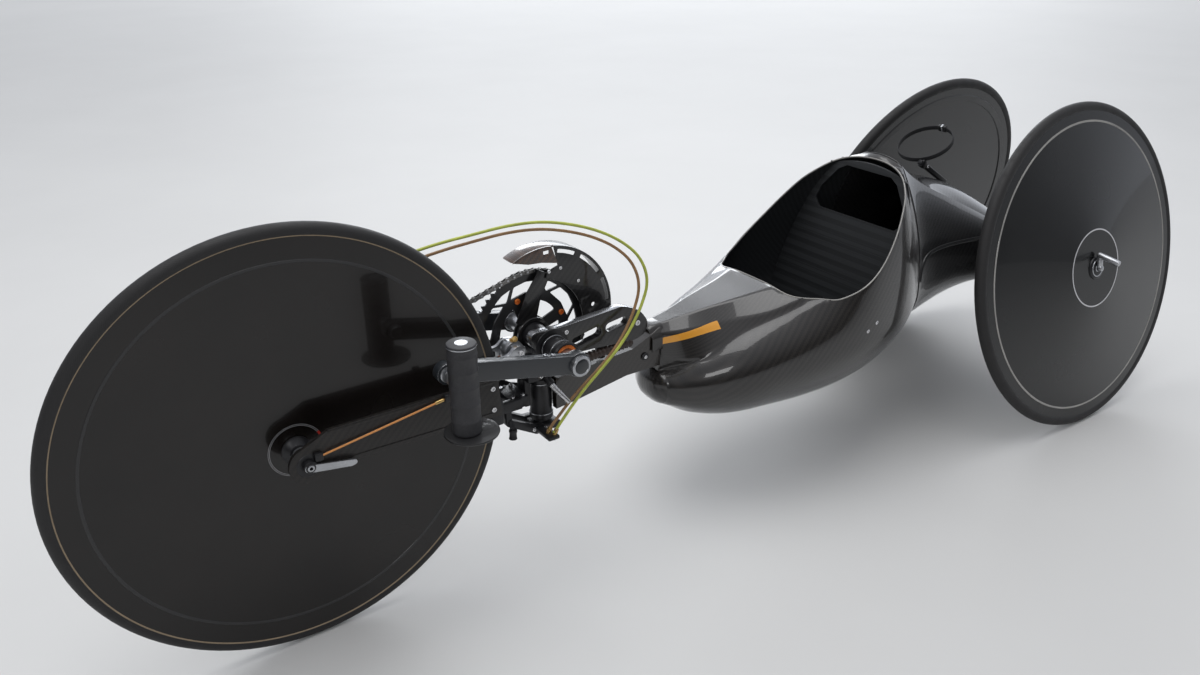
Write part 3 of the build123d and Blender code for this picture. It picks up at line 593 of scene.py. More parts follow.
def piece(name, bm, body, finishes, stands_for=(), sharp=38.0):
    """Closes the mesh, brings it to metres and makes it ride on its body."""
    bmesh.ops.remove_doubles(bm, verts=bm.verts, dist=0.0005)
    bmesh.ops.recalc_face_normals(bm, faces=bm.faces)
    bmesh.ops.scale(bm, vec=(MM, MM, MM), verts=bm.verts)
    mesh = bpy.data.meshes.new(name)
    bm.to_mesh(mesh)
    bm.free()
    mesh.shade_smooth()
    mesh.set_sharp_from_angle(angle=math.radians(sharp))
    for finish in finishes:
        mesh.materials.append(finish)
    obj = bpy.data.objects.new(name, mesh)
    bpy.context.scene.collection.objects.link(obj)
    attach(obj, body)
    if stands_for:
        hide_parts(*stands_for)
    return obj


def on_side(place, side):
    """The placing itself on the left, and mirrored on the right."""
    return place if side > 0 else Matrix.Diagonal((1, -1, 1, 1)) @ place


def span(side, near, far):
    """Low and high y between two distances from the middle."""
    return (near, far) if side > 0 else (-far, -near)


def toothed(x, z, teeth, corners, phase=0.0):
    """Outline with teeth, each from corners given as a share of the pitch and a radius."""
    outline = []
    for k in range(teeth):
        start = phase + 2 * math.pi * k / teeth
        for share, radius in corners:
            angle = start + 2 * math.pi / teeth * share
            outline.append((x + radius * math.cos(angle), z + radius * math.sin(angle)))
    return outline


def add_skin(bm, rings):
    """Faces between neighbouring rings of vertices."""
    for first, second in zip(rings, rings[1:]):
        for k in range(len(first)):
            after = (k + 1) % len(first)
            bm.faces.new((first[k], first[after], second[after], second[k]))


def mirror_y(bm):
    bmesh.ops.scale(bm, vec=(1, -1, 1), verts=bm.verts)


def dress(node, finish):
    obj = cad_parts[node]
    obj.data.materials.clear()
    obj.data.materials.append(finish)


# Chain

def chain_tangent(first, second):
    (c1, r1, s1), (c2, r2, s2) = first, second
    dx, dz = c2[0] - c1[0], c2[1] - c1[1]
    angle = math.atan2(dz, dx) - math.asin((s2 * r2 - s1 * r1) / math.hypot(dx, dz))
    nx, nz = -math.sin(angle), math.cos(angle)
    return (c1[0] - s1 * r1 * nx, c1[1] - s1 * r1 * nz), (c2[0] - s2 * r2 * nx, c2[1] - s2 * r2 * nz)


PITCH = 12.7
RING_TEETH, SPROCKET_TEETH = 53, 18
RING_R = RING_TEETH * PITCH / (2 * math.pi)
SPROCKET_R = SPROCKET_TEETH * PITCH / (2 * math.pi)
UPPER_JOCKEY = (799.0, 268.0)
LOWER_JOCKEY = (767.0, 215.0)
# Centre, radius and sense of each round that the chain makes
ROUNDS = [(CRANK, RING_R, 1), (LOWER_JOCKEY, 20.0, 1), (UPPER_JOCKEY, 20.0, -1), (AXLE, SPROCKET_R, 1)]
CHAIN_Y = -40.0


def chain_pins():
    """Pins along the chain's middle line, a pitch apart."""
    runs = [chain_tangent(ROUNDS[i], ROUNDS[(i + 1) % 4]) for i in range(4)]
    line = []
    for i, (start, end) in enumerate(runs):
        gap = math.dist(start, end)
        count = max(2, int(gap / 1.5))
        line += [(start[0] + (end[0] - start[0]) * k / count, start[1] + (end[1] - start[1]) * k / count)
                 for k in range(count)]
        centre, radius, sign = ROUNDS[(i + 1) % 4]
        leave = runs[(i + 1) % 4][0]
        a0 = math.atan2(end[1] - centre[1], end[0] - centre[0])
        a1 = math.atan2(leave[1] - centre[1], leave[0] - centre[0])
        sweep = (a1 - a0) % (2 * math.pi) if sign > 0 else -((a0 - a1) % (2 * math.pi))
        count = max(2, int(abs(sweep) * radius / 1.5))
        line += [(centre[0] + radius * math.cos(a0 + sweep * k / count),
                  centre[1] + radius * math.sin(a0 + sweep * k / count)) for k in range(count)]
    total = sum(math.dist(a, b) for a, b in zip(line, line[1:] + line[:1]))
    count = 2 * round(total / PITCH / 2)
    step = total / count
    pins = []
    walked, want = 0.0, 0.0
    for a, b in zip(line, line[1:] + line[:1]):
        gap = math.dist(a, b)
        while want < walked + gap - 1e-6 and len(pins) < count:
            t = (want - walked) / gap
            pins.append((a[0] + (b[0] - a[0]) * t, a[1] + (b[1] - a[1]) * t))
            want += step
        walked += gap
    return pins


def make_chain():
    bm = bmesh.new()
    pins = chain_pins()
    for i, pin in enumerate(pins):
        after = pins[(i + 1) % len(pins)]
        gap = math.dist(pin, after)
        turn = math.atan2(after[1] - pin[1], after[0] - pin[0])
        half = gap / 2
        outline = arc_points(-half, 0, 4.1, 110, 250, 4) + [(0, -2.7)] + arc_points(half, 0, 4.1, -70, 70,
                                                                                    4) + [(0, 2.7)]
        middle = ((pin[0] + after[0]) / 2, (pin[1] + after[1]) / 2)
        place = Matrix.Translation((middle[0], 0, middle[1])) @ Matrix.Rotation(-turn, 4, "Y")
        offset = 3.0 if i % 2 else 2.0
        for side in (1, -1):
            y = CHAIN_Y + side * offset
            add_plate(bm, outline, y - 0.45, y + 0.45, 0, turn=place)
        add_bar(bm, (pin[0], CHAIN_Y - 3.7, pin[1]), (pin[0], CHAIN_Y + 3.7, pin[1]), 1.8, 1, 8)
        add_bar(bm, (pin[0], CHAIN_Y - 1.6, pin[1]), (pin[0], CHAIN_Y + 1.6, pin[1]), 3.8, 0, 10)
    piece("chain_links", bm, "fork", (chain_steel, edge_metal), ("chain",))


# Chainring

def make_chainring():
    bm = bmesh.new()
    cx, cz = CRANK
    pins = chain_pins()
    near = min(pins, key=lambda p: abs(math.dist(p, CRANK) - RING_R) + abs(p[0] - (cx - RING_R)) * 0.01)
    phase = math.atan2(near[1] - cz, near[0] - cx)
    corners = ((-0.16, 103.4), (0.16, 103.4), (0.36, 107.5), (0.5, 109.2), (0.64, 107.5))
    outline = toothed(cx, cz, RING_TEETH, corners, phase)

    def corner(radius, degrees):
        return (cx + radius * math.cos(math.radians(degrees)), cz + radius * math.sin(math.radians(degrees)))

    holes = []
    for k in range(6):
        middle = 57 + 60 * k
        holes.append(rounded([corner(74, middle), corner(90, middle - 12), corner(91, middle),
                              corner(90, middle + 12)], 2.5, 3))
        span = middle + 30
        holes.append(rounded([corner(74, span - 24), corner(90, span - 14.5), corner(91, span),
                              corner(90, span + 14.5), corner(74, span + 24), corner(73, span)], 3.0, 3))
    for k in range(4):
        low = 340 + 90 * k + 11
        high = low + 68
        inner = [corner(57, low + (high - low) * t / 6) for t in range(7)]
        back = [corner(31, high - 8 - (high - low - 16) * t / 4) for t in range(5)]
        holes.append(rounded(inner + back, 3.0, 2))
    add_plate(bm, outline, CHAIN_Y - 1.6, CHAIN_Y + 1.6, 0.5, holes, 0, 1)
    for k in range(4):
        arm = 340 + 90 * k
        x, z = corner(64.5, arm)
        add_bolt(bm, (x, CHAIN_Y + 1.6, z), (0, 1, 0), 5.0, 2.4, 2)
        add_bolt(bm, (x, CHAIN_Y - 1.6, z), (0, -1, 0), 5.0, 2.4, 2)
    hub = [(12.2, -34.5), (25, -34.5), (27, -36), (27, -38.5), (30, -39), (30, -41.8), (12.2, -41.8)]
    add_turned(bm, hub, about_y(cx, cz), 48, 1)
    piece("ring_wheel", bm, "crank", (satin_black, black_metal, orange_metal), ("chainring",))


def make_cassette():
    bm = bmesh.new()
    cx, cz = AXLE
    for k in range(8):
        teeth = 11 + 2 * k
        y = -21.5 - (7 - k) * 3.8 - 1.9
        radius = teeth * PITCH / (2 * math.pi)
        if -45 < y < -35:
            radius = min(radius, SPROCKET_R)
        root = radius - 3.8
        outline = toothed(cx, cz, teeth, ((-0.2, root), (0.2, root), (0.42, radius), (0.58, radius)))
        hole = ring_points(cx, cz, 16.2, 32)
        add_plate(bm, outline, y - 0.9, y + 0.9, 0, [hole])
    add_turned(bm, [(16.1, -51.5), (19, -51.5), (19, -22), (16.1, -22)], about_y(cx, cz), 32, 1)
    piece("sprockets", bm, "front_wheel", (chain_steel, black_metal), ("cassette",))


# Wheels

def make_front_hub():
    bm = bmesh.new()
    for side in (1, -1):
        flange = [(6.2, 56.5), (11, 56.5), (12.5, 55), (12.5, 22), (19, 15), (22, 13.5), (22, 11.6),
                  (6.2, 11.6)]
        if side < 0:
            flange = [(6.2, 56.5), (11, 56.5), (12.5, 55), (15.6, 52), (15.6, 11.6), (6.2, 11.6)]
        place = on_side(about_y(*AXLE), side)
        add_turned(bm, flange, place, 48, 0)
        add_turned(bm, [(12.6, 30), (13.4, 30), (13.4, 33), (12.6, 33)], place, 48, 1)
    piece("front_hub_shell", bm, "front_wheel", (black_metal, edge_metal), ("front_hub",))


def make_front_disc_trim():
    bm = bmesh.new()
    for side in (1, -1):
        place = on_side(about_y(*AXLE), side)
        seam = [(280.5, 11.45), (281.0, 11.9), (284.5, 11.9), (285.0, 11.45)]
        add_turned(bm, seam, place, 128, 0)
    valve = along((AXLE[0] - 291, 9.5, AXLE[1] + 6), (0.0, 1, 0.0))
    add_turned(bm, [(0, 1.4), (6, 1.4), (6.5, 0.9), (6.5, -1), (0, -1)], valve, 24, 1)
    piece("front_disc_seam", bm, "front_wheel", (satin_black, soft_rubber))


def rear_matrix(side):
    """Placing of a profile that is spun round a rear wheel's axis."""
    lean = Matrix.Rotation(CAMBER, 4, "X") @ Matrix.Rotation(-math.pi / 2, 4, "X")
    return on_side(Matrix.Translation(LEFT_WHEEL[0]) @ lean, side)


def make_rear_hub(side):
    bm = bmesh.new()
    name = SIDE_NAMES[side]
    place = rear_matrix(side)
    shell = [(10.1, 31), (10.1, -12), (20, -12), (22, -10.5), (24, -9.9), (24, 34.9), (23, 37), (19, 38.6),
             (8, 39), (0, 39), (0, 31)]
    add_turned(bm, shell, place, 64, 0)
    add_turned(bm, [(0, 39.9), (6.5, 39.9), (7.2, 39.2), (7.2, 38.5), (0, 38.5)], place, 32, 1)
    add_turned(bm, [(15.5, 38.9), (16, 39.5), (17.2, 39.5), (17.7, 38.7)], place, 48, 1)
    if side > 0:
        root = place @ Vector((0, 0, 43))
        knee = place @ Vector((0, -27, 45))
        tip = Vector((REAR_X - 4, 300, knee.z - 8))
        add_bar(bm, place @ Vector((0, 0, 38)), place @ Vector((0, 0, 49)), 6.0, 1, 24, edge=1.2)
        add_bar(bm, root, knee, 5.6, 1, 20, edge=1.4)
        add_bar(bm, knee - (tip - knee).normalized() * 5, tip, 6.2, 1, 24, edge=2.6)
    piece(f"rear_hub_shell_{name}", bm, f"rear_wheel_{name}", (black_metal, grey_metal),
          (f"rear_hub_{name}",))


def make_rear_inner_ring(side):
    bm = bmesh.new()
    place = rear_matrix(side)
    ring = [(286, -9.4), (287, -11.5), (299, -11.5), (301, -9.4)]
    add_turned(bm, ring, place, 128, 0)
    ring = [(24.2, -9.8), (26, -11.2), (40, -11.2), (42, -9.9)]
    add_turned(bm, ring, place, 64, 0)
    outer = [(293.5, 10.6), (294, 10.9), (297, 10.8), (297.5, 10.2)]
    add_turned(bm, outer, place, 128, 1)
    name = SIDE_NAMES[side]
    piece(f"rear_rim_band_{name}", bm, f"rear_wheel_{name}", (satin_black, pale_edge))


# Crank and grips

CRANK_TURN = math.radians(12.4)
CRANK_REACH = 227
GRIP_X = CRANK[0] + CRANK_REACH * math.cos(CRANK_TURN)
GRIP_Z = CRANK[1] + CRANK_REACH * math.sin(CRANK_TURN)
GRIP_Y = 160
GRIP_HALF = 69


def make_crank_arm(side):
    bm = bmesh.new()
    name = SIDE_NAMES[side]
    place = Matrix.Translation((CRANK[0], 0, CRANK[1])) @ Matrix.Rotation(-CRANK_TURN, 4, "Y")
    outline = [*arc_points(0, 0, 20, 50, 310, 16), (34, -15.2), (196, -15.2),
               *arc_points(CRANK_REACH, 0, 16, -75, 75, 14), (196, 15.2), (34, 15.2)]
    faces = add_plate(bm, outline, 94, 110.5, 2.2, turn=place, segments=2)
    bm.normal_update()
    for face in faces:
        tilt = abs(face.normal.y)
        if 0.2 < tilt < 0.98:
            face.material_index = 1
    hub = [(12.1, 93), (16, 93), (17, 94), (17, 117.4), (15.5, 118.6), (12.8, 118.6), (12.1, 117.9)]
    add_turned(bm, hub, about_y(*CRANK), 48, 1)
    cap = [(0, 119.2), (9, 119.2), (11.5, 118), (11.9, 116), (11.9, 100), (0, 100)]
    add_turned(bm, cap, about_y(*CRANK), 36, 0)
    eye = [(6.1, 93.5), (11, 93.5), (12, 94.3), (12, 112), (10.5, 113), (6.1, 113)]
    add_turned(bm, eye, about_y(GRIP_X, GRIP_Z), 36, 2)
    for x in (46, 60):
        spot = place @ Vector((x, 94, 15.0))
        add_bolt(bm, (spot.x, 102, spot.z), (place.to_3x3() @ Vector((0, 0, 1))), 4.0, 2.6, 1)
    if side < 0:
        mirror_y(bm)
    piece(f"crank_lever_{name}", bm, "crank", (arm_black, edge_metal, grey_metal), (f"crank_arm_{name}",))


def make_grip(side):
    name = SIDE_NAMES[side]
    low, high = GRIP_Z - GRIP_HALF, GRIP_Z + GRIP_HALF
    y = GRIP_Y * side
    profile = [(0, low), (18.8, low), (20.4, low + 1.5)]
    profile.append((20.8, low + 6.0))
    for band in (low + 22, low + 47, low + 73, low + 98, low + 121):
        profile += [(20.9, band - 1.8), (21.4, band - 1.0), (21.4, band + 1.0), (20.9, band + 1.8)]
    profile += [(20.9, high - 5.5), (21.4, high - 4.8), (21.4, high - 2.2), (20.2, high - 0.6), (17.5, high),
                (0, high)]
    bm = bmesh.new()
    add_turned(bm, profile, Matrix.Translation((GRIP_X, y, 0)), 64, 0)
    add_turned(bm, [(20.8, high - 5.2), (21.5, high - 4.6), (21.5, high - 3.4), (20.8, high - 2.9)],
               Matrix.Translation((GRIP_X, y, 0)), 64, 1)
    add_turned(bm, [(0, high + 0.2), (9, high + 0.2), (9.5, high - 0.4), (0, high - 0.4)],
               Matrix.Translation((GRIP_X, y, 0)), 32, 1)
    piece(f"grip_wrap_{name}", bm, f"grip_{name}", (grip_tape, edge_metal), (f"grip_handle_{name}",))
    bm = bmesh.new()
    x = GRIP_X - 7
    plate = [(0, low - 5), (36, low - 5), (39.4, low - 4), (40, low - 2.5), (39.4, low - 1), (36, low - 0.2),
             (0, low - 0.2)]
    add_turned(bm, plate, Matrix.Translation((x, y, 0)), 64, 0)
    add_bolt(bm, (x, y, low - 5), (0, 0, -1), 6.0, 3.5, 1)
    add_bolt(bm, (x + 22, y, low - 5), (0, 0, -1), 3.6, 3.0, 1)
    y0, y1 = span(side, GRIP_Y - 5, GRIP_Y + 5)
    add_block(bm, (x - 30, y0, low - 9), (x - 14, y1, low - 4.8), 1.2, 1)
    add_bar(bm, (x - 24, y, low - 7), (x - 30, y, low - 17), 3.2, 1, 16, edge=0.8)
    piece(f"grip_foot_{name}", bm, f"grip_{name}", (satin_black, grey_metal), (f"grip_plate_{name}",))
    bm = bmesh.new()
    knob = [(6, 93.6), (9.4, 93.6), (10, 93), (10, 88), (9, 86.4), (0, 86.2), (0, 93.6)]
    add_turned(bm, knob, about_y(GRIP_X, GRIP_Z), 32, 0)
    add_turned(bm, [(0, 158), (5.9, 158), (5.9, 90), (0, 90)], about_y(GRIP_X, GRIP_Z), 32, 1)
    collar = [(6, 118.6), (9.5, 118.6), (10.5, 120), (10.5, 127), (9, 130), (8, 138.8), (6, 138.8)]
    add_turned(bm, collar, about_y(GRIP_X, GRIP_Z), 32, 0)
    if side < 0:
        mirror_y(bm)
    piece(f"grip_spindle_{name}", bm, f"grip_{name}", (grey_metal, bright_steel), (f"grip_pin_{name}",))


def make_cups():
    for name, y0, y1 in (("left", 68.0, 74.0), ("right", -34.0, -28.0)):
        bm = bmesh.new()
        out = 1 if name == "left" else -1
        near, far = (y0, y1) if out > 0 else (y1, y0)
        cup = [(12.6, near), (23, near), (24, near + out), (24, far - 2 * out), (22, far), (19.6, far),
               (19.6, near + out), (12.6, near + out)]
        add_turned(bm, cup, about_y(*CRANK), 64, 1)
        ring = [(12.7, near + 1.2 * out), (19.4, near + 1.2 * out), (19.4, far - 1.6 * out),
                (18.6, far - 0.9 * out), (13.6, far - 0.9 * out), (12.7, far - 1.6 * out)]
        add_turned(bm, ring, about_y(*CRANK), 64, 0)
        piece(f"bearing_ring_{name}", bm, "fork", (orange_metal, black_metal), (f"bearing_cup_{name}",))
    bm = bmesh.new()
    shell = [(12.2, -27.8), (22, -27.8), (22, -22), (21, -20), (21, 30), (22, 32), (22, 60), (21.2, 62),
             (21.2, 66), (22, 67.8), (12.2, 67.8)]
    add_turned(bm, shell, about_y(*CRANK), 64, 0)
    for y in (34, 57):
        add_turned(bm, [(21.8, y), (22.3, y + 0.5), (22.3, y + 2), (21.8, y + 2.5)], about_y(*CRANK), 64, 1)
    piece("crank_shell", bm, "fork", (black_metal, edge_metal), ("crank_housing",))


# Fork, yoke and steering head

def make_blade(side):
    name = SIDE_NAMES[side]
    bm = bmesh.new()
    outline = [(485, 374), (492, 380), (577, 380.5), (700, 380.5), (764, 380)] + arc_points(
        793, 334, 28, 80, -80, 18) + [(745, 320), (577, 319), (494, 316), (485, 315)]
    add_plate(bm, rounded(outline[:5], 5, 3) + outline[5:], 57.2, 63, 1.8, segments=3)
    lip = [(500, 374.5), (760, 374.5), (760, 378.2), (500, 378.2)]
    add_plate(bm, lip, 62.9, 63.9, 0.5, index=0)
    lip = [(500, 322), (742, 325.5), (742, 328.6), (500, 325)]
    add_plate(bm, lip, 62.9, 63.9, 0.5, index=0)
    add_turned(bm, [(6.2, 63.6), (17, 63.6), (18, 62.8), (18, 57.3), (6.2, 57.3)], about_y(*AXLE), 48, 1)
    for x, z in ((500, 366), (500, 330)):
        add_bolt(bm, (x, 63, z), (0, 1, 0), 4.2, 2.6, 2)
    if side < 0:
        mirror_y(bm)
    piece(f"fork_side_{name}", bm, "fork", (satin_carbon, black_metal, bright_steel), (f"fork_blade_{name}",))


def make_front_axle():
    bm = bmesh.new()
    x, z = AXLE
    add_bar(bm, (x, -63, z), (x, 63, z), 5.9, 0, 24)
    nut = [(0, 72), (7, 72), (9.4, 70.5), (10, 68), (10, 63.2), (0, 63.2)]
    for side in (1, -1):
        add_turned(bm, nut, on_side(about_y(x, z), side), 32, 0)
    outline = [(x + 7, z + 6), (x + 9, z - 4), (x - 4, z - 8), (x - 60, z - 17), (x - 67, z - 14),
               (x - 66, z - 8), (x - 20, z + 1)]
    add_plate(bm, rounded(outline, 5), 68.4, 71.8, 1.0, index=1)
    add_bolt(bm, (x, 71.4, z), (0, 1, 0), 5.0, 2.0, 1)
    piece("quick_release", bm, "fork", (black_metal, edge_metal), ("front_axle",))


def make_head():
    bm = bmesh.new()
    tube = [(14.2, 252), (18.8, 252), (20, 253.2), (20, 261), (18.6, 263), (18.2, 290), (18.6, 317),
            (20, 319), (20, 326.8), (18.8, 328), (14.2, 328)]
    add_turned(bm, tube, Matrix.Translation((HEAD_X, 0, 0)), 64, 0)
    for z in (261.5, 317.5):
        ring = [(18.8, z), (20.2, z + 0.4), (20.2, z + 1.4), (18.8, z + 1.8)]
        add_turned(bm, ring, Matrix.Translation((HEAD_X, 0, 0)), 64, 1)
    piece("head_sleeve", bm, "frame", (black_metal, edge_metal), ("head_tube",))


def make_yokes():
    bm = bmesh.new()
    add_block(bm, (353, -26, 332), (416, 26, 362), 3.0)
    add_block(bm, (404, -13, 284), (416, 13, 336), 2.0)
    saddle = [(353, 361), (396, 361), (396, 374), (391.6, 378)] + arc_points(372, 389, 22.2, -30, -150,
                                                                             10) + [(353, 378)]
    add_plate(bm, saddle, -24, 15.8, 0.8, index=0)
    add_block(bm, (358, 25.4, 337), (398, 27.2, 357), 1.0, 1)
    for x, z in ((363, 341), (363, 353), (393, 341), (393, 353)):
        add_bolt(bm, (x, 27.2, z), (0, 1, 0), 3.4, 2.4, 2)
    for y in (-18, 18):
        add_bolt(bm, (410, y, 362), (0, 0, 1), 3.6, 3.0, 2)
        add_bolt(bm, (416, y, 347), (1, 0, 0), 4.0, 2.8, 2)
    piece("yoke_upper", bm, "fork", (black_metal, brown_metal, bright_steel), ("yoke_top",))
    bm = bmesh.new()
    add_block(bm, (357, -26, 236), (402, 26, 248), 2.0)
    strut = [(388, 236), (388, 250), (402, 250), (449, 276), (449, 294), (459, 294), (459, 268), (404, 236)]
    for side in (1, -1):
        y0, y1 = span(side, 15, 26)
        add_plate(bm, rounded(strut, 3, 3), y0, y1, 1.0)
        for x, z in ((396, 243), (409, 247)):
            add_bolt(bm, (x, 26 * side, z), (0, side, 0), 3.6, 2.6, 1)
    add_bolt(bm, (HEAD_X, 0, 236), (0, 0, -1), 9.0, 5.0, 1)
    add_bar(bm, (453, 24, 276), (451, 31, 262), 4.0, 0, 16, edge=0.8)
    add_turned(bm, [(0, 0), (6.4, 0), (7, 0.8), (7, 4), (6.2, 5), (6.2, 13), (7, 14), (7, 16), (6, 17),
                    (0, 17)], along((451, 31, 263), (0.1, 0.1, -1)), 12, 0)
    piece("yoke_lower", bm, "fork", (black_metal, bright_steel), ("yoke_low",))
    bm = bmesh.new()
    add_block(bm, (416, -26, 294), (450, 26, 313), 2.0)
    for side in (1, -1):
        y0, y1 = span(side, 18, 30)
        add_block(bm, (430, y0, 294), (501, y1, 313), 2.0)
        y0, y1 = span(side, 18, 57)
        add_block(bm, (479, y0, 294), (501, y1, 340), 3.0)
        add_bolt(bm, (443, 20 * side, 313), (0, 0, 1), 3.6, 3.0, 1)
        add_bolt(bm, (424, 20 * side, 313), (0, 0, 1), 3.6, 3.0, 1)
    piece("crown_block", bm, "fork", (black_metal, bright_steel), ("fork_crown",))


ARM = [(410, 422), (357, 418), (254, 424), (233, 426), (197, 410), (179, 384), (185, 364), (208, 356),
       (270, 362), (337, 366), (410, 394)]


def make_slotted_arm():
    bm = bmesh.new()
    outline = rounded(ARM, 22, 5)
    hole_a = slot_points(327, 384, 285, 392, 9, 8)
    hole_b = slot_points(259, 394, 231, 398, 8, 8)
    faces = add_plate(bm, outline, 16, 30, 1.4, [hole_a, hole_b], 0, 2)
    bm.normal_update()
    for face in faces:
        middle = face.calc_center_median()
        if 0.25 < face.normal.z and middle.z > 395 and abs(face.normal.y) < 0.97:
            face.material_index = 1
    add_turned(bm, [(22.3, 15.5), (30, 15.5), (31, 16.4), (31, 30.2), (30, 31.2), (22.3, 31.2)],
               about_y(*CRANK), 64, 2)
    add_bolt(bm, (203, 30, 388), (0, 1, 0), 5.0, 3.0, 3)
    add_bolt(bm, (345, 30, 408), (0, 1, 0), 4.0, 2.6, 3)
    piece("slotted_lever", bm, "fork", (flat_carbon, edge_metal, black_metal, bright_steel), ("slotted_arm",))


def make_rubber():
    bm = bmesh.new()
    x, y = 270.0, 17.0
    profile = [(0, 338), (8.4, 338)]
    for k in range(5):
        z = 339.5 + k * 4.3
        profile += [(6.6, z), (9.0, z + 1.4), (9.0, z + 2.4)]
    profile += [(8.0, 360.8), (0, 360.8)]
    add_turned(bm, profile, Matrix.Translation((x, y, 0)), 40, 0)
    start, end = Vector((212, 24.5, 353)), Vector((330, 24.5, 347))
    ribs = 15
    step = (end - start).length / ribs
    profile = [(0, 0), (7.0, 0)]
    for k in range(ribs):
        t = k * step
        profile += [(6.4, t + 1.0), (8.6, t + 0.36 * step), (8.6, t + 0.62 * step), (6.4, t + step - 0.6)]
    profile += [(7.0, ribs * step), (0, ribs * step)]
    add_turned(bm, profile, along(start, end - start), 28, 1)
    add_bar(bm, end, end + Vector((20, 0, -1)), 4.2, 2, 16)
    piece("centring_bellows", bm, "fork", (soft_rubber, gaiter_rubber, grey_metal), ("centring_rubber",))


# Chain guard

def make_guard():
    """Crown band, copper horn with an open slit under it, dark flange with windows, and a strut."""
    bm = bmesh.new()
    cx, cz = CRANK[0] - 27, CRANK[1] + 19

    def from_crank(points):
        return [(CRANK[0] + a, CRANK[1] + b) for a, b in points]

    def window(radius, first, last):
        steps = 6
        turns = [math.radians(first + (last - first) * k / steps) for k in range(steps + 1)]
        outer = [(cx + (radius + 3.2) * math.cos(t), cz + (radius + 3.2) * math.sin(t)) for t in turns]
        inner = [(cx + (radius - 3.2) * math.cos(t),
                  cz + (radius - 3.2) * math.sin(t)) for t in reversed(turns)]
        return rounded(outer + inner, 1.6, 2)

    crown = arc_points(cx, cz, 128, 62, 182, 60) + arc_points(cx, cz, 125, 182, 62, 60)
    for face in add_plate(bm, crown, -60, -29.2, 0.6, index=0):
        if face.calc_center_median().x > cx - 20:
            face.material_index = 1
    horn = arc_points(cx, cz, 128, 62, 95, 18) + from_crank([(-50, 115), (-19, 122), (5, 124), (37, 133)])
    add_plate(bm, horn, -29, -26, 0.8, [window(118.5, 88, 93.5)], 1)
    flange = arc_points(cx, cz, 128, 97, 182, 42) + arc_points(*CRANK, 97, 184, 106, 26) + from_crank(
        [(-28, 100), (-38, 107), (-50, 111)])
    holes = [window(119, 101, 118), window(119.5, 124, 148), window(120, 155, 176),
             ring_points(CRANK[0] - 118, CRANK[1] + 26, 3.6, 20)]
    add_plate(bm, flange, -29, -26, 0.7, holes, 0)
    strut = from_crank([(-37, 97), (-16, 110), (8, 77), (31, 27)]) + arc_points(*CRANK, 24.4, 42, 108,
                                                                                10) + from_crank([(-17, 59)])
    add_plate(bm, strut, -31, -29.2, 0.6, index=0)
    collar = [(24.2, -31), (29, -31), (30, -30.2), (30, -26.8), (29, -26), (24.2, -26)]
    add_turned(bm, collar, about_y(*CRANK), 64, 0)
    for a, b in ((-54, 106), (-32, 104), (-88, 76)):
        add_bolt(bm, (CRANK[0] + a, -26, CRANK[1] + b), (0, 1, 0), 3.0, 1.8, 2)
    piece("chain_cover", bm, "fork", (flat_carbon, horn_carbon, bright_steel), ("chain_guard",))


# Brake

def make_brake():
    bm = bmesh.new()
    add_block(bm, (404, -10, 361), (437, 10, 374), 1.5, 1)
    body = [(413, 374), (445, 374), (447, 392), (438, 404), (420, 404), (411, 392)]
    add_plate(bm, rounded(body, 5, 3), -9, 9, 1.4, index=0)
    for side in (1, -1):
        arm = [(416, 400), (436, 402), (446, 392), (486, 388), (491, 384), (491, 375), (452, 374), (421, 376)]
        y0, y1 = span(side, 16.8, 23.6)
        add_plate(bm, rounded(arm, 5, 3), y0, y1, 1.4, index=0)
        y0, y1 = span(side, 8, 18)
        add_block(bm, (418, y0, 384), (436, y1, 400), 1.6, 0)
        y0, y1 = span(side, 12.6, 16.9)
        add_block(bm, (452, y0, 377), (488, y1, 386), 1.4, 2)
        add_bolt(bm, (426, 23.6 * side, 391), (0, side, 0), 4.6, 3.0, 1)
        add_bolt(bm, (470, 23.6 * side, 382), (0, side, 0), 3.6, 2.4, 1)
    add_bar(bm, (428, -8, 398), (428, 10, 410), 3.0, 3, 16, edge=0.6)
    for k in range(6):
        y = -6 + k * 3.2
        ring = [(3.2, -0.7), (4.6, -0.4), (4.6, 0.4), (3.2, 0.7)]
        at = Vector((428, y, 398 + (y + 8) * 12 / 18))
        add_turned(bm, ring, along(at, (0, 18, 12)), 20, 4)
    piece("brake_unit", bm, "fork", (grey_metal, bright_steel, soft_rubber, brass, brass), ("brake_caliper",))


def make_derailleur():
    bm = bmesh.new()
    for x, z in (UPPER_JOCKEY, LOWER_JOCKEY):
        outline = toothed(x, z, 10, ((-0.2, 15.0), (0.2, 15.0), (0.42, 19.4), (0.58, 19.4)))
        add_plate(bm, outline, -41.2, -38.8, 0.3, [ring_points(x, z, 5.2, 20)], 1, 1)
        add_turned(bm, [(0, -37.4), (5, -37.4), (5, -48.6), (0, -48.6)], about_y(x, z), 20, 2)
        add_bolt(bm, (x, -49, z), (0, -1, 0), 4.2, 2.0, 2)
    cage = slot_points(UPPER_JOCKEY[0], UPPER_JOCKEY[1], LOWER_JOCKEY[0], LOWER_JOCKEY[1], 9, 8)
    window = slot_points(UPPER_JOCKEY[0] - 8, UPPER_JOCKEY[1] - 13, LOWER_JOCKEY[0] + 8,
                         LOWER_JOCKEY[1] + 13, 3.4, 5)
    add_plate(bm, cage, -49, -47, 0.5, [window], 0, 1)
    add_bar(bm, (799, -57, 306), (799, -47.5, 268), 5.0, 0, 24, edge=0.8)
    add_plate(bm, slot_points(799, 314, 799, 298, 7, 8), -57.1, -55.2, 0.6, [], 0, 1)
    piece("gear_changer", bm, "fork", (black_metal, soft_rubber, bright_steel), ("derailleur",))


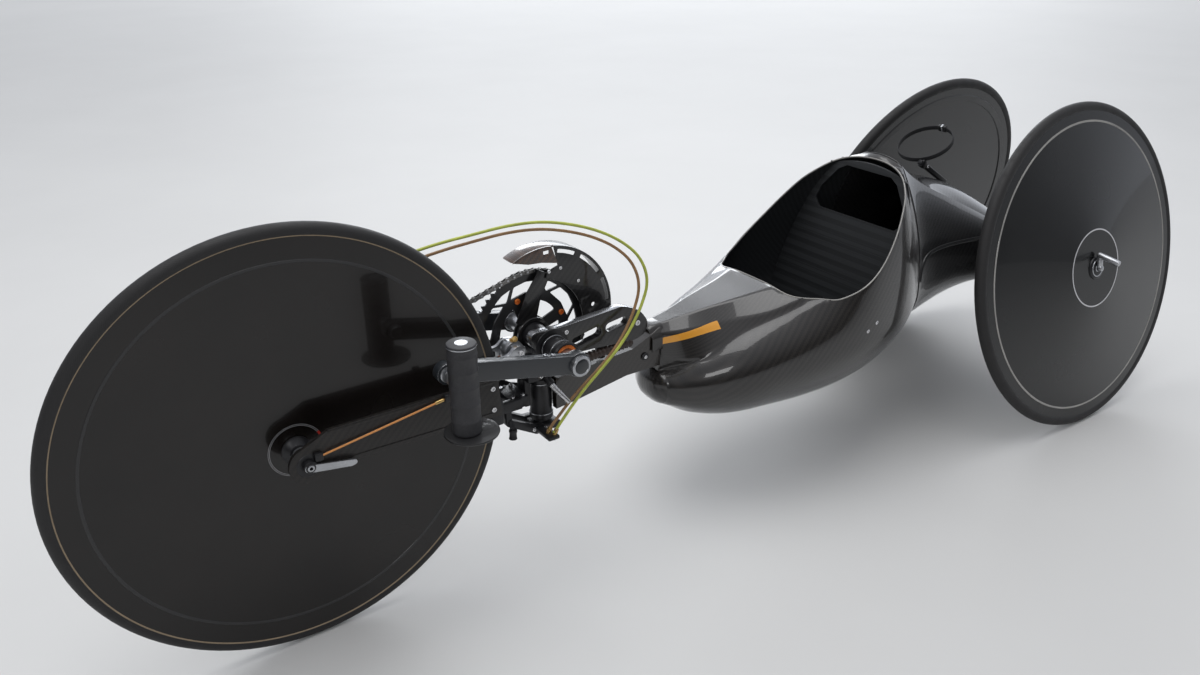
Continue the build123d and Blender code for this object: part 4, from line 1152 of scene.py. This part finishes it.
def make_stops():
    bm = bmesh.new()
    add_block(bm, (386, 26.3, 243), (407, 70, 249.5), 2.0, 0)
    for y, x in ((62, 393), (52, 399)):
        add_bar(bm, (x + 1, y, 244), (x - 6, y, 258.4), 3.9, 1, 20, edge=0.6)
        add_bar(bm, (x + 2, y, 240.5), (x + 1, y, 244), 4.8, 2, 6)
    add_bolt(bm, (391, 36, 249.5), (0, 0, 1), 3.4, 2.4, 2)
    add_bar(bm, (384, 26.5, 336), (379, 38, 326), 6.4, 0, 20, edge=1.0)
    add_bar(bm, (381, 35, 328), (359, 57, 296), 4.6, 2, 20, edge=0.6)
    for k in range(4):
        at = Vector((376, 40, 321)) + Vector((-11, 11, -16)) * (k / 4)
        add_turned(bm, [(4.4, -0.9), (5.6, -0.5), (5.6, 0.5), (4.4, 0.9)], along(at, (-22, 22, -32)), 20, 2)
    add_block(bm, (714, -105.6, 341), (740, -63.2, 373), 2.4, 0)
    add_bolt(bm, (727, -72, 373), (0, 0, 1), 4.0, 2.8, 2)
    for x, y, z in ((733, -90, 366), (723, -98, 349)):
        add_bar(bm, (x, y, z - 4), (x - 0.6, y, z + 5 if z > 360 else z + 24.2), 4.4, 1, 20, edge=0.6)
    add_block(bm, (571, 63, 370), (583, 70.8, 382), 1.4, 0)
    add_block(bm, (773, 63, 340), (785, 70.8, 352), 1.4, 0)
    piece("cable_blocks", bm, "fork", (black_metal, brass, bright_steel), ("cable_stops",))
    bm = bmesh.new()
    add_bar(bm, (577, 67, 376), (774, 67, 346), 1.5, 0, 14)
    add_bar(bm, (584, 67, 375), (598, 67, 372.9), 2.6, 1, 16, edge=0.5)
    piece("shift_wire", bm, "fork", (cable_orange, brass), ("cable_orange",))


# Strap

def make_strap():
    bm = bmesh.new()
    centre = Vector((-580.0, -38.0, 564.0))
    tilt = Matrix.Translation(centre) @ Matrix.Rotation(math.radians(26), 4, "Y")
    band = rounded([(53.8, -4.6), (56.2, -4.6), (56.2, 4.6), (53.8, 4.6)], 0.8, 2)
    add_turned(bm, band, tilt, 96, 0)
    buckle = tilt @ Matrix.Rotation(math.radians(180), 4, "Z") @ Matrix.Translation((55, 0, 0))
    add_block(bm, (-3.4, -10, -6.6), (3.4, 10, 6.6), 1.4, 1, turn=buckle)
    add_block(bm, (-4.2, -2.2, -7.2), (4.2, 2.2, 7.2), 0.8, 2, turn=buckle)
    piece("strap_band", bm, "frame", (webbing, soft_rubber, grey_metal), ("strap_loop",))
    bm = bmesh.new()
    start, end = Vector((-531.0, -8.0, 540.0)), Vector((-619.0, -8.0, 483.0))
    place = along((start + end) / 2, end - start)
    half = (end - start).length / 2
    add_block(bm, (-5.0, -5.0, -half), (5.0, 5.0, half), 2.0, 0, 3, turn=place)
    add_block(bm, (-6.0, -7.5, -half + 4), (4.0, 7.5, -half + 18), 1.6, 0, 2, turn=place)
    add_bolt(bm, start + (end - start) * 0.22 + Vector((0, 5, 0)), (0, 1, 0), 3.4, 2.4, 1)
    piece("tongue_bar", bm, "frame", (black_metal, bright_steel), ("strap_bar",))


# Tub

# Share of the length, bottom, half width, its height, low radius, shoulder half width and height, crown
BELLY = [(0.000, -112, 128, -4, 80, 54, 232, 243), (0.099, -150, 156, -14, 100, 110, 211, 229),
         (0.208, -174, 172, -24, 110, 149, 149, 164), (0.342, -187, 178, -34, 110, 166, 78, 91),
         (0.480, -189, 172, -44, 105, 136, 51, 64), (0.624, -184, 158, -57, 92, 114, 21, 35),
         (0.767, -176, 138, -70, 76, 100, -7, 7), (0.883, -156, 103, -84, 52, 66, -34, -24),
         (0.961, -130, 64, -90, 34, 38, -58, -51), (1.000, -119, 38, -91, 27, 26, -66, -60)]
# Share of the length, then half width and height of deck, facet and side, then the base
NOSE = [(0.460, 68, 61, 116, 54, 146, 12, -86), (0.538, 62, 63, 110, 52, 140, 6, -84),
        (0.659, 46, 54, 88, 32, 120, -9, -82), (0.803, 30, 44, 56, 22, 88, -16, -76),
        (0.910, 17, 35, 42, 19, 58, -34, -70), (0.984, 12, 30, 26, 18, 27, -22, -64)]
# Share of the length, height of the line that the rings are drawn from
MIDDLE = [(0.0, 65), (0.1, 40), (0.2, -2), (0.342, -10), (0.46, -10), (0.659, -27), (0.803, -40),
          (0.910, -52), (0.984, -61), (1.0, -86)]
RIM_PLAN = [(0.570, 86), (0.558, 102), (0.526, 113), (0.486, 127), (0.456, 148), (0.438, 190), (0.122, 190),
            (0.106, 132), (0.082, 106), (0.048, 82), (0.011, 44)]
RIM_SHEER = [(0.640, -34), (0.470, -34), (0.462, 47), (0.400, 54), (0.342, 70), (0.271, 99), (0.208, 134),
             (0.149, 169), (0.103, 199), (-0.020, 160), (-0.020, 400), (0.640, 400)]
TUB_BACK, TUB_TIP, NOSE_END = -401.0, 157.0, 148.0
WALL = 2.4
TUB_RINGS = 128
SCREWS = [(-230.0, 329.0), (-208.0, 318.0)]


def tub_x(share):
    return TUB_BACK + share * (TUB_TIP - TUB_BACK)


def row_at(rows, share):
    """Row of values at a share of the length, on a smooth curve through the given rows."""
    shares = [row[0] for row in rows]
    share = min(max(share, shares[0]), shares[-1])
    k = max(i for i in range(len(rows) - 1) if shares[i] <= share)
    first, second = rows[k], rows[k + 1]
    width = second[0] - first[0]
    t = (share - first[0]) / width
    before = rows[k - 1] if k else first
    after = rows[k + 2] if k + 2 < len(rows) else second
    values = []
    for j in range(1, len(first)):
        slope_a = (second[j] - before[j]) / (second[0] - before[0])
        slope_b = (after[j] - first[j]) / (after[0] - first[0])
        values.append(first[j] * (2 * t ** 3 - 3 * t ** 2 + 1) + slope_a * width * (t ** 3 - 2 * t ** 2 + t)
                      + second[j] * (3 * t ** 2 - 2 * t ** 3) + slope_b * width * (t ** 3 - t ** 2))
    return values


def belly_half(share):
    """Right half of the belly's section, from its lowest to its highest point."""
    bottom, half, mid, low_r, shoulder_half, shoulder, crown = row_at(BELLY, share)
    turn = math.pi / 2 - 2 * math.atan((mid - low_r - bottom) / (half - low_r))
    centre = half - low_r
    draw, rise = half - shoulder_half, shoulder - mid
    high_r = (draw ** 2 + rise ** 2) / (2 * draw)
    high_turn = math.atan2(rise, shoulder_half - half + high_r)
    wide, sag = centre + low_r * math.cos(turn), mid - low_r * math.sin(turn) - bottom
    base_r = (wide ** 2 + sag ** 2) / (2 * sag)
    top_r = (shoulder_half ** 2 + (crown - shoulder) ** 2) / (2 * (crown - shoulder))
    points = []
    for k in range(9):
        a = math.asin(min(1.0, wide / base_r)) * k / 8
        points.append((base_r * math.sin(a), bottom + base_r * (1 - math.cos(a))))
    for k in range(1, 13):
        a = turn * (1 - k / 12)
        points.append((centre + low_r * math.cos(a), mid - low_r * math.sin(a)))
    for k in range(1, 17):
        a = high_turn * k / 16
        points.append((half - high_r + high_r * math.cos(a), mid + high_r * math.sin(a)))
    for k in range(1, 13):
        a = math.asin(min(1.0, shoulder_half / top_r)) * (1 - k / 12)
        points.append((top_r * math.sin(a), crown - top_r * (1 - math.cos(a))))
    return points


def reach_of(points, middle, angle):
    """Distance from the middle line to a half outline along an angle."""
    dy, dz = math.cos(angle), math.sin(angle)
    best = 0.0
    for (y0, z0), (y1, z1) in zip(points, points[1:]):
        ey, ez = y1 - y0, z1 - z0
        cross = dy * ez - dz * ey
        if abs(cross) < 1e-9:
            continue
        along_ray = (y0 * ez - (z0 - middle) * ey) / cross
        share = (y0 * dz - (z0 - middle) * dy) / cross
        if along_ray > 0 and -1e-6 <= share <= 1 + 1e-6:
            best = max(best, along_ray)
    return best


def tub_ring(share, with_nose, squeeze=1.0):
    """Ring of the outer skin, counted from the top down the left side and up the right."""
    middle = row_at(MIDDLE, share)[0]
    deck_half, deck, facet_half, facet, side_half, side, base = row_at(NOSE, share)
    belly = belly_half(share)
    nose = [(0, base), (0.6 * side_half, base), (side_half, side), (facet_half, facet), (deck_half, deck),
            (0, deck)]
    turns = [math.pi / 2] + [math.atan2(z - middle, y) for y, z in ((deck_half, deck), (facet_half, facet),
                                                                    (side_half, side))] + [-math.pi / 2]
    angles = []
    for first, second, count in zip(turns, turns[1:], (14, 8, 10, 44)):
        angles += [first + (second - first) * k / count for k in range(count)]
    angles.append(-math.pi / 2)
    half = []
    for angle in angles:
        reach = reach_of(belly, middle, angle)
        if with_nose:
            other = reach_of(nose, middle, angle)
            gap = max(5.0 - abs(reach - other), 0.0) / 5.0
            reach = max(reach, other) + gap * gap * 1.2
        half.append((reach * math.cos(angle) * squeeze, middle + reach * math.sin(angle) * squeeze))
    return half + [(-y, z) for y, z in reversed(half[1:-1])]


def edge_distance(points, place):
    """Distance to a closed outline, below nought inside it."""
    px, py = place
    nearest = 1e9
    within = False
    for (x0, y0), (x1, y1) in zip(points, points[1:] + points[:1]):
        dx, dy = x1 - x0, y1 - y0
        t = min(1.0, max(0.0, ((px - x0) * dx + (py - y0) * dy) / (dx * dx + dy * dy)))
        nearest = min(nearest, math.hypot(px - x0 - t * dx, py - y0 - t * dy))
        if (y0 > py) != (y1 > py) and px < x0 + dx * (py - y0) / dy:
            within = not within
    return -nearest if within else nearest


def cut_opening(bm):
    """Opens the cockpit: cuts the skin along the rim and takes away what lies inside it."""
    half = [(tub_x(share), y) for share, y in RIM_PLAN]
    plan = rounded(half + [(x, -y) for x, y in reversed(half)], 16, 4)
    sheer = rounded([(tub_x(share), z + AXLE[1]) for share, z in RIM_SHEER], 40, 5)
    depth = {}
    for vert in bm.verts:
        x, y, z = vert.co
        if TUB_BACK - 20 < x < -60 and z > 290:
            depth[vert] = max(edge_distance(plan, (x, y)), edge_distance(sheer, (x, z)))
        else:
            depth[vert] = 100.0
    rim = set()
    for edge in list(bm.edges):
        a, b = edge.verts
        if depth[a] * depth[b] < 0:
            share = depth[a] / (depth[a] - depth[b])
            new_vert = bmesh.utils.edge_split(edge, a, share)[1]
            depth[new_vert] = 0.0
            rim.add(new_vert)
    for face in list(bm.faces):
        cuts = [v for v in face.verts if v in rim]
        if len(cuts) == 2:
            bmesh.utils.face_split(face, cuts[0], cuts[1])
    gone = [f for f in bm.faces if all(depth[v] <= 1e-6 for v in f.verts)]
    bmesh.ops.delete(bm, geom=gone, context="FACES")
    rim = {v for v in rim if v.is_valid}
    loop = [min(rim, key=lambda v: (v.co.x, v.co.y))]
    while True:
        ahead = [e.other_vert(loop[-1]) for e in loop[-1].link_edges if len(e.link_faces) == 1]
        ahead = [v for v in ahead if v not in loop[-2:]]
        if not ahead or ahead[0] is loop[0]:
            break
        loop.append(ahead[0])
    for _ in range(30):
        places = [v.co.copy() for v in loop]
        for k, vert in enumerate(loop):
            vert.co = 0.5 * places[k] + 0.25 * (places[k - 1] + places[(k + 1) % len(loop)])
    return [v.co.copy() for v in loop]


def add_bead(bm, loop, radius, index, closed=True):
    """Thin round bead along a line of points."""
    middle = sum(loop, Vector()) / len(loop)
    count = len(loop)
    rings = []
    for k, place in enumerate(loop):
        if closed:
            ahead = (loop[(k + 1) % count] - loop[k - 1]).normalized()
        else:
            ahead = (loop[min(k + 1, count - 1)] - loop[max(k - 1, 0)]).normalized()
        out = (place - middle).cross(ahead).cross(ahead).normalized()
        up = ahead.cross(out)
        rings.append([bm.verts.new(place + radius * (out * math.cos(a) + up * math.sin(a)))
                      for a in (2 * math.pi * j / 6 for j in range(6))])
    for k in range(count if closed else count - 1):
        first, second = rings[k], rings[(k + 1) % count]
        for j in range(6):
            face = bm.faces.new((first[j], first[(j + 1) % 6], second[(j + 1) % 6], second[j]))
            face.material_index = index
    if not closed:
        bm.faces.new(rings[0]).material_index = index
        bm.faces.new(rings[-1]).material_index = index


def make_tub():
    """Smooth shell of belly and nose with a real wall and a pale line of cut cloth round its rim."""
    bm = bmesh.new()
    rings = []
    for k in range(TUB_RINGS):
        share = (NOSE_END - TUB_BACK) / (TUB_TIP - TUB_BACK) * k / (TUB_RINGS - 1)
        rings.append((tub_x(share), tub_ring(share, share >= 0.46)))
    share = (NOSE_END - TUB_BACK) / (TUB_TIP - TUB_BACK)
    rings.append((NOSE_END + 0.4, tub_ring(share, False)))
    for k in range(1, 10):
        a = math.pi / 2 * k / 10
        x = NOSE_END + 0.4 + 17 * math.sin(a)
        rings.append((min(x, TUB_TIP + 8), tub_ring(min(1.0, (x - TUB_BACK) / (TUB_TIP - TUB_BACK)), False,
                                                    math.cos(a))))
    grid = [[bm.verts.new((x, y, z + AXLE[1])) for y, z in ring] for x, ring in rings]
    add_skin(bm, grid)
    bm.faces.new(grid[-1])
    bmesh.ops.recalc_face_normals(bm, faces=bm.faces)
    loop = cut_opening(bm)
    outer = set(bm.faces)
    bmesh.ops.solidify(bm, geom=bm.faces[:], thickness=WALL)
    for face in bm.faces:
        if face not in outer:
            face.material_index = 1
    body = piece("tub_body", bm, "frame", (tub_carbon, inside_carbon), ("tub_shell",),
                 sharp=50.0)
    bm = bmesh.new()
    add_bead(bm, loop, 1.3, 0)
    piece("tub_rim", bm, "frame", (pale_edge,))
    bm = bmesh.new()
    for x, z in SCREWS:
        hit, place, normal = body.ray_cast(Vector((x, 400, z)) * MM, Vector((0, -1, 0)))[:3]
        if hit:
            add_bolt(bm, place * 1000, normal, 3.8, 1.6, 0)
    piece("tub_screws", bm, "frame", (bright_steel,))


TAIL_BAND = [(-404, 352), (-408, 372), (-416, 388), (-430, 398), (-455, 403), (-490, 404), (-530, 403),
             (-575, 401), (-620, 398), (-665, 392)]


def make_tail_dark_bands():
    """Dark bead on the seam between tub and tail, and a sunk dark bead along each side of the tail."""
    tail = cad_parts["tail_fairing"]
    bm = bmesh.new()
    seam = [Vector((TUB_BACK, y * 1.002, z * 1.002 + AXLE[1])) for y, z in tub_ring(0.0, False)]
    add_bead(bm, seam, 1.3, 0)
    for side in (1, -1):
        line = []
        for x, z in TAIL_BAND:
            hit, place, normal = tail.ray_cast(Vector((x, 400 * side, z)) * MM, Vector((0, -side, 0)))[:3]
            if hit:
                line.append(place * 1000 - normal * 1.5)
        fine = []
        for k in range(len(line) - 1):
            fine += [line[k].lerp(line[k + 1], t / 4) for t in range(4)]
        for _ in range(6):
            inner = [(fine[k - 1] + 2 * fine[k] + fine[k + 1]) / 4 for k in range(1, len(fine) - 1)]
            fine = [fine[0], *inner, fine[-1]]
        add_bead(bm, fine, 4.5, 0, False)
    piece("tail_dark_bands", bm, "frame", (satin_black,))


def make_nose_sleeve():
    """Rounded sleeve that carries the deck on over the beam's end, with its clamp bolt."""
    bm = bmesh.new()
    profile = rounded([(-27.5, 322), (-27.5, 346), (-15, 366), (17, 366), (28.5, 346), (28.5, 322),
                       (26, 322), (26, 345), (16, 363), (-14, 363), (-25, 345), (-25, 322)], 5, 3)
    rings = []
    for x, rise in ((140, 0.0), (152, 0.0), (160, -0.6), (165, -1.8), (168, -3.6)):
        rings.append([bm.verts.new((x, y, z + (rise if z > 350 else 0.0))) for y, z in profile])
    add_skin(bm, rings)
    for ring in (rings[0], rings[-1]):
        count = len(ring)
        for k in range(count // 2 - 1):
            bm.faces.new((ring[k], ring[k + 1], ring[count - 2 - k], ring[count - 1 - k]))
    add_turned(bm, [(0, 27), (6.5, 27), (7, 26.4), (7, 23.6), (0, 23.6)], about_y(182, 316), 28, 1)
    add_bolt(bm, (182, 26.8, 316), (0, 1, 0), 3.4, 1.6, 2)
    piece("nose_sleeve", bm, "frame", (tub_carbon, black_metal, bright_steel))


make_chain()
make_chainring()
make_cassette()
make_front_hub()
make_front_disc_trim()
for wheel_side in (1, -1):
    make_rear_hub(wheel_side)
    make_rear_inner_ring(wheel_side)
    make_crank_arm(wheel_side)
    make_grip(wheel_side)
    make_blade(wheel_side)
make_cups()
make_front_axle()
make_head()
make_yokes()
make_slotted_arm()
make_rubber()
make_guard()
make_brake()
make_derailleur()
make_stops()
make_strap()
make_tub()
make_nose_sleeve()
make_tail_dark_bands()

DRESSED = (("tail_fairing", tail_carbon, "carbon_gloss"), ("seat_bulkhead", seat_carbon, "carbon_satin"),
           ("nose_beam", beam_carbon, "carbon_gloss"), ("axle_beam", black_metal, "black_metal"),
           ("stub_axle_left", grey_metal, "grey_metal"), ("stub_axle_right", grey_metal, "grey_metal"),
           ("steerer", grey_metal, "grey_metal"), ("crank_axle", grey_metal, "grey_metal"),
           ("front_tyre", front_tyre_finish, "tyre"), ("rear_tyre_left", left_tyre_finish, "tyre"),
           ("rear_tyre_right", right_tyre_finish, "tyre"), ("front_disc", front_disc_finish, "disc_gloss"),
           ("rear_disc_left", left_disc_finish, "disc_gloss"),
           ("rear_disc_right", right_disc_finish, "disc_gloss"))
for node_name, node_finish, node_slot in DRESSED:
    dress(node_name, node_finish)


# Floor, world and lamps

def make_floor():
    bm = bmesh.new()
    bmesh.ops.create_grid(bm, x_segments=2, y_segments=2, size=20.0)
    mesh = bpy.data.meshes.new("floor")
    bm.to_mesh(mesh)
    bm.free()
    floor = bpy.data.objects.new("floor", mesh)
    bpy.context.scene.collection.objects.link(floor)
    material, tree, shader = new_material("floor_paint")
    cloud = noise(tree, object_place(tree), 1.5, 4.0, 0.6)
    plug(tree, blend_colours(tree, cloud, (0.60, 0.60, 0.59), (0.66, 0.66, 0.65)),
         shader.inputs["Base Color"])
    shader.inputs["Roughness"].default_value = 0.6
    mesh.materials.append(material)


def make_world():
    """Pale room: a bright window side behind the object, a darker side behind the camera."""
    world = bpy.data.worlds.new("room")
    world.use_nodes = True
    bpy.context.scene.world = world
    tree = world.node_tree
    tree.nodes.clear()
    out = tree.nodes.new("ShaderNodeOutputWorld")
    back = tree.nodes.new("ShaderNodeBackground")
    tree.links.new(back.outputs[0], out.inputs[0])
    x, y, z = parts_of(tree, tree.nodes.new("ShaderNodeTexCoord").outputs["Generated"])
    window = times(tree, plus(tree, x, y), -0.71)
    share = spread(tree, window, -0.25, 0.75, 0.0, 1.0)
    low = blend_colours(tree, share, (0.07, 0.068, 0.065), (1.05, 1.1, 1.2))
    sky = blend_colours(tree, spread(tree, z, 0.1, 0.9, 0.0, 1.0), low, (0.75, 0.76, 0.80))
    camera_ray = tree.nodes.new("ShaderNodeLightPath").outputs["Is Camera Ray"]
    plug(tree, blend_colours(tree, camera_ray, sky, (0.80, 0.80, 0.80)), back.inputs[0])
    back.inputs[1].default_value = 0.9


def add_lamp(name, place, target, size, power, colour=(1.0, 1.0, 1.0)):
    data = bpy.data.lights.new(name, "AREA")
    data.shape = "RECTANGLE"
    data.size, data.size_y = size
    data.energy = power
    data.color = colour
    lamp = bpy.data.objects.new(name, data)
    bpy.context.scene.collection.objects.link(lamp)
    direction = Vector(target) - Vector(place)
    lamp.matrix_world = Matrix.Translation(place) @ direction.to_track_quat("-Z", "Y").to_matrix().to_4x4()


make_floor()
make_world()
add_lamp("window", (-9.0, -11.5, 5.2), (0, 0, 0.3), (12.0, 5.0), 820.0, (0.94, 0.97, 1.0))
add_lamp("ceiling", (0.2, -0.4, 4.4), (0, 0, 0.2), (3.6, 3.6), 95.0)
add_lamp("fill", (2.6, 3.0, 2.6), (0, 0, 0.3), (1.2, 0.8), 14.0)

bpy.context.scene.view_settings.view_transform = "Standard"
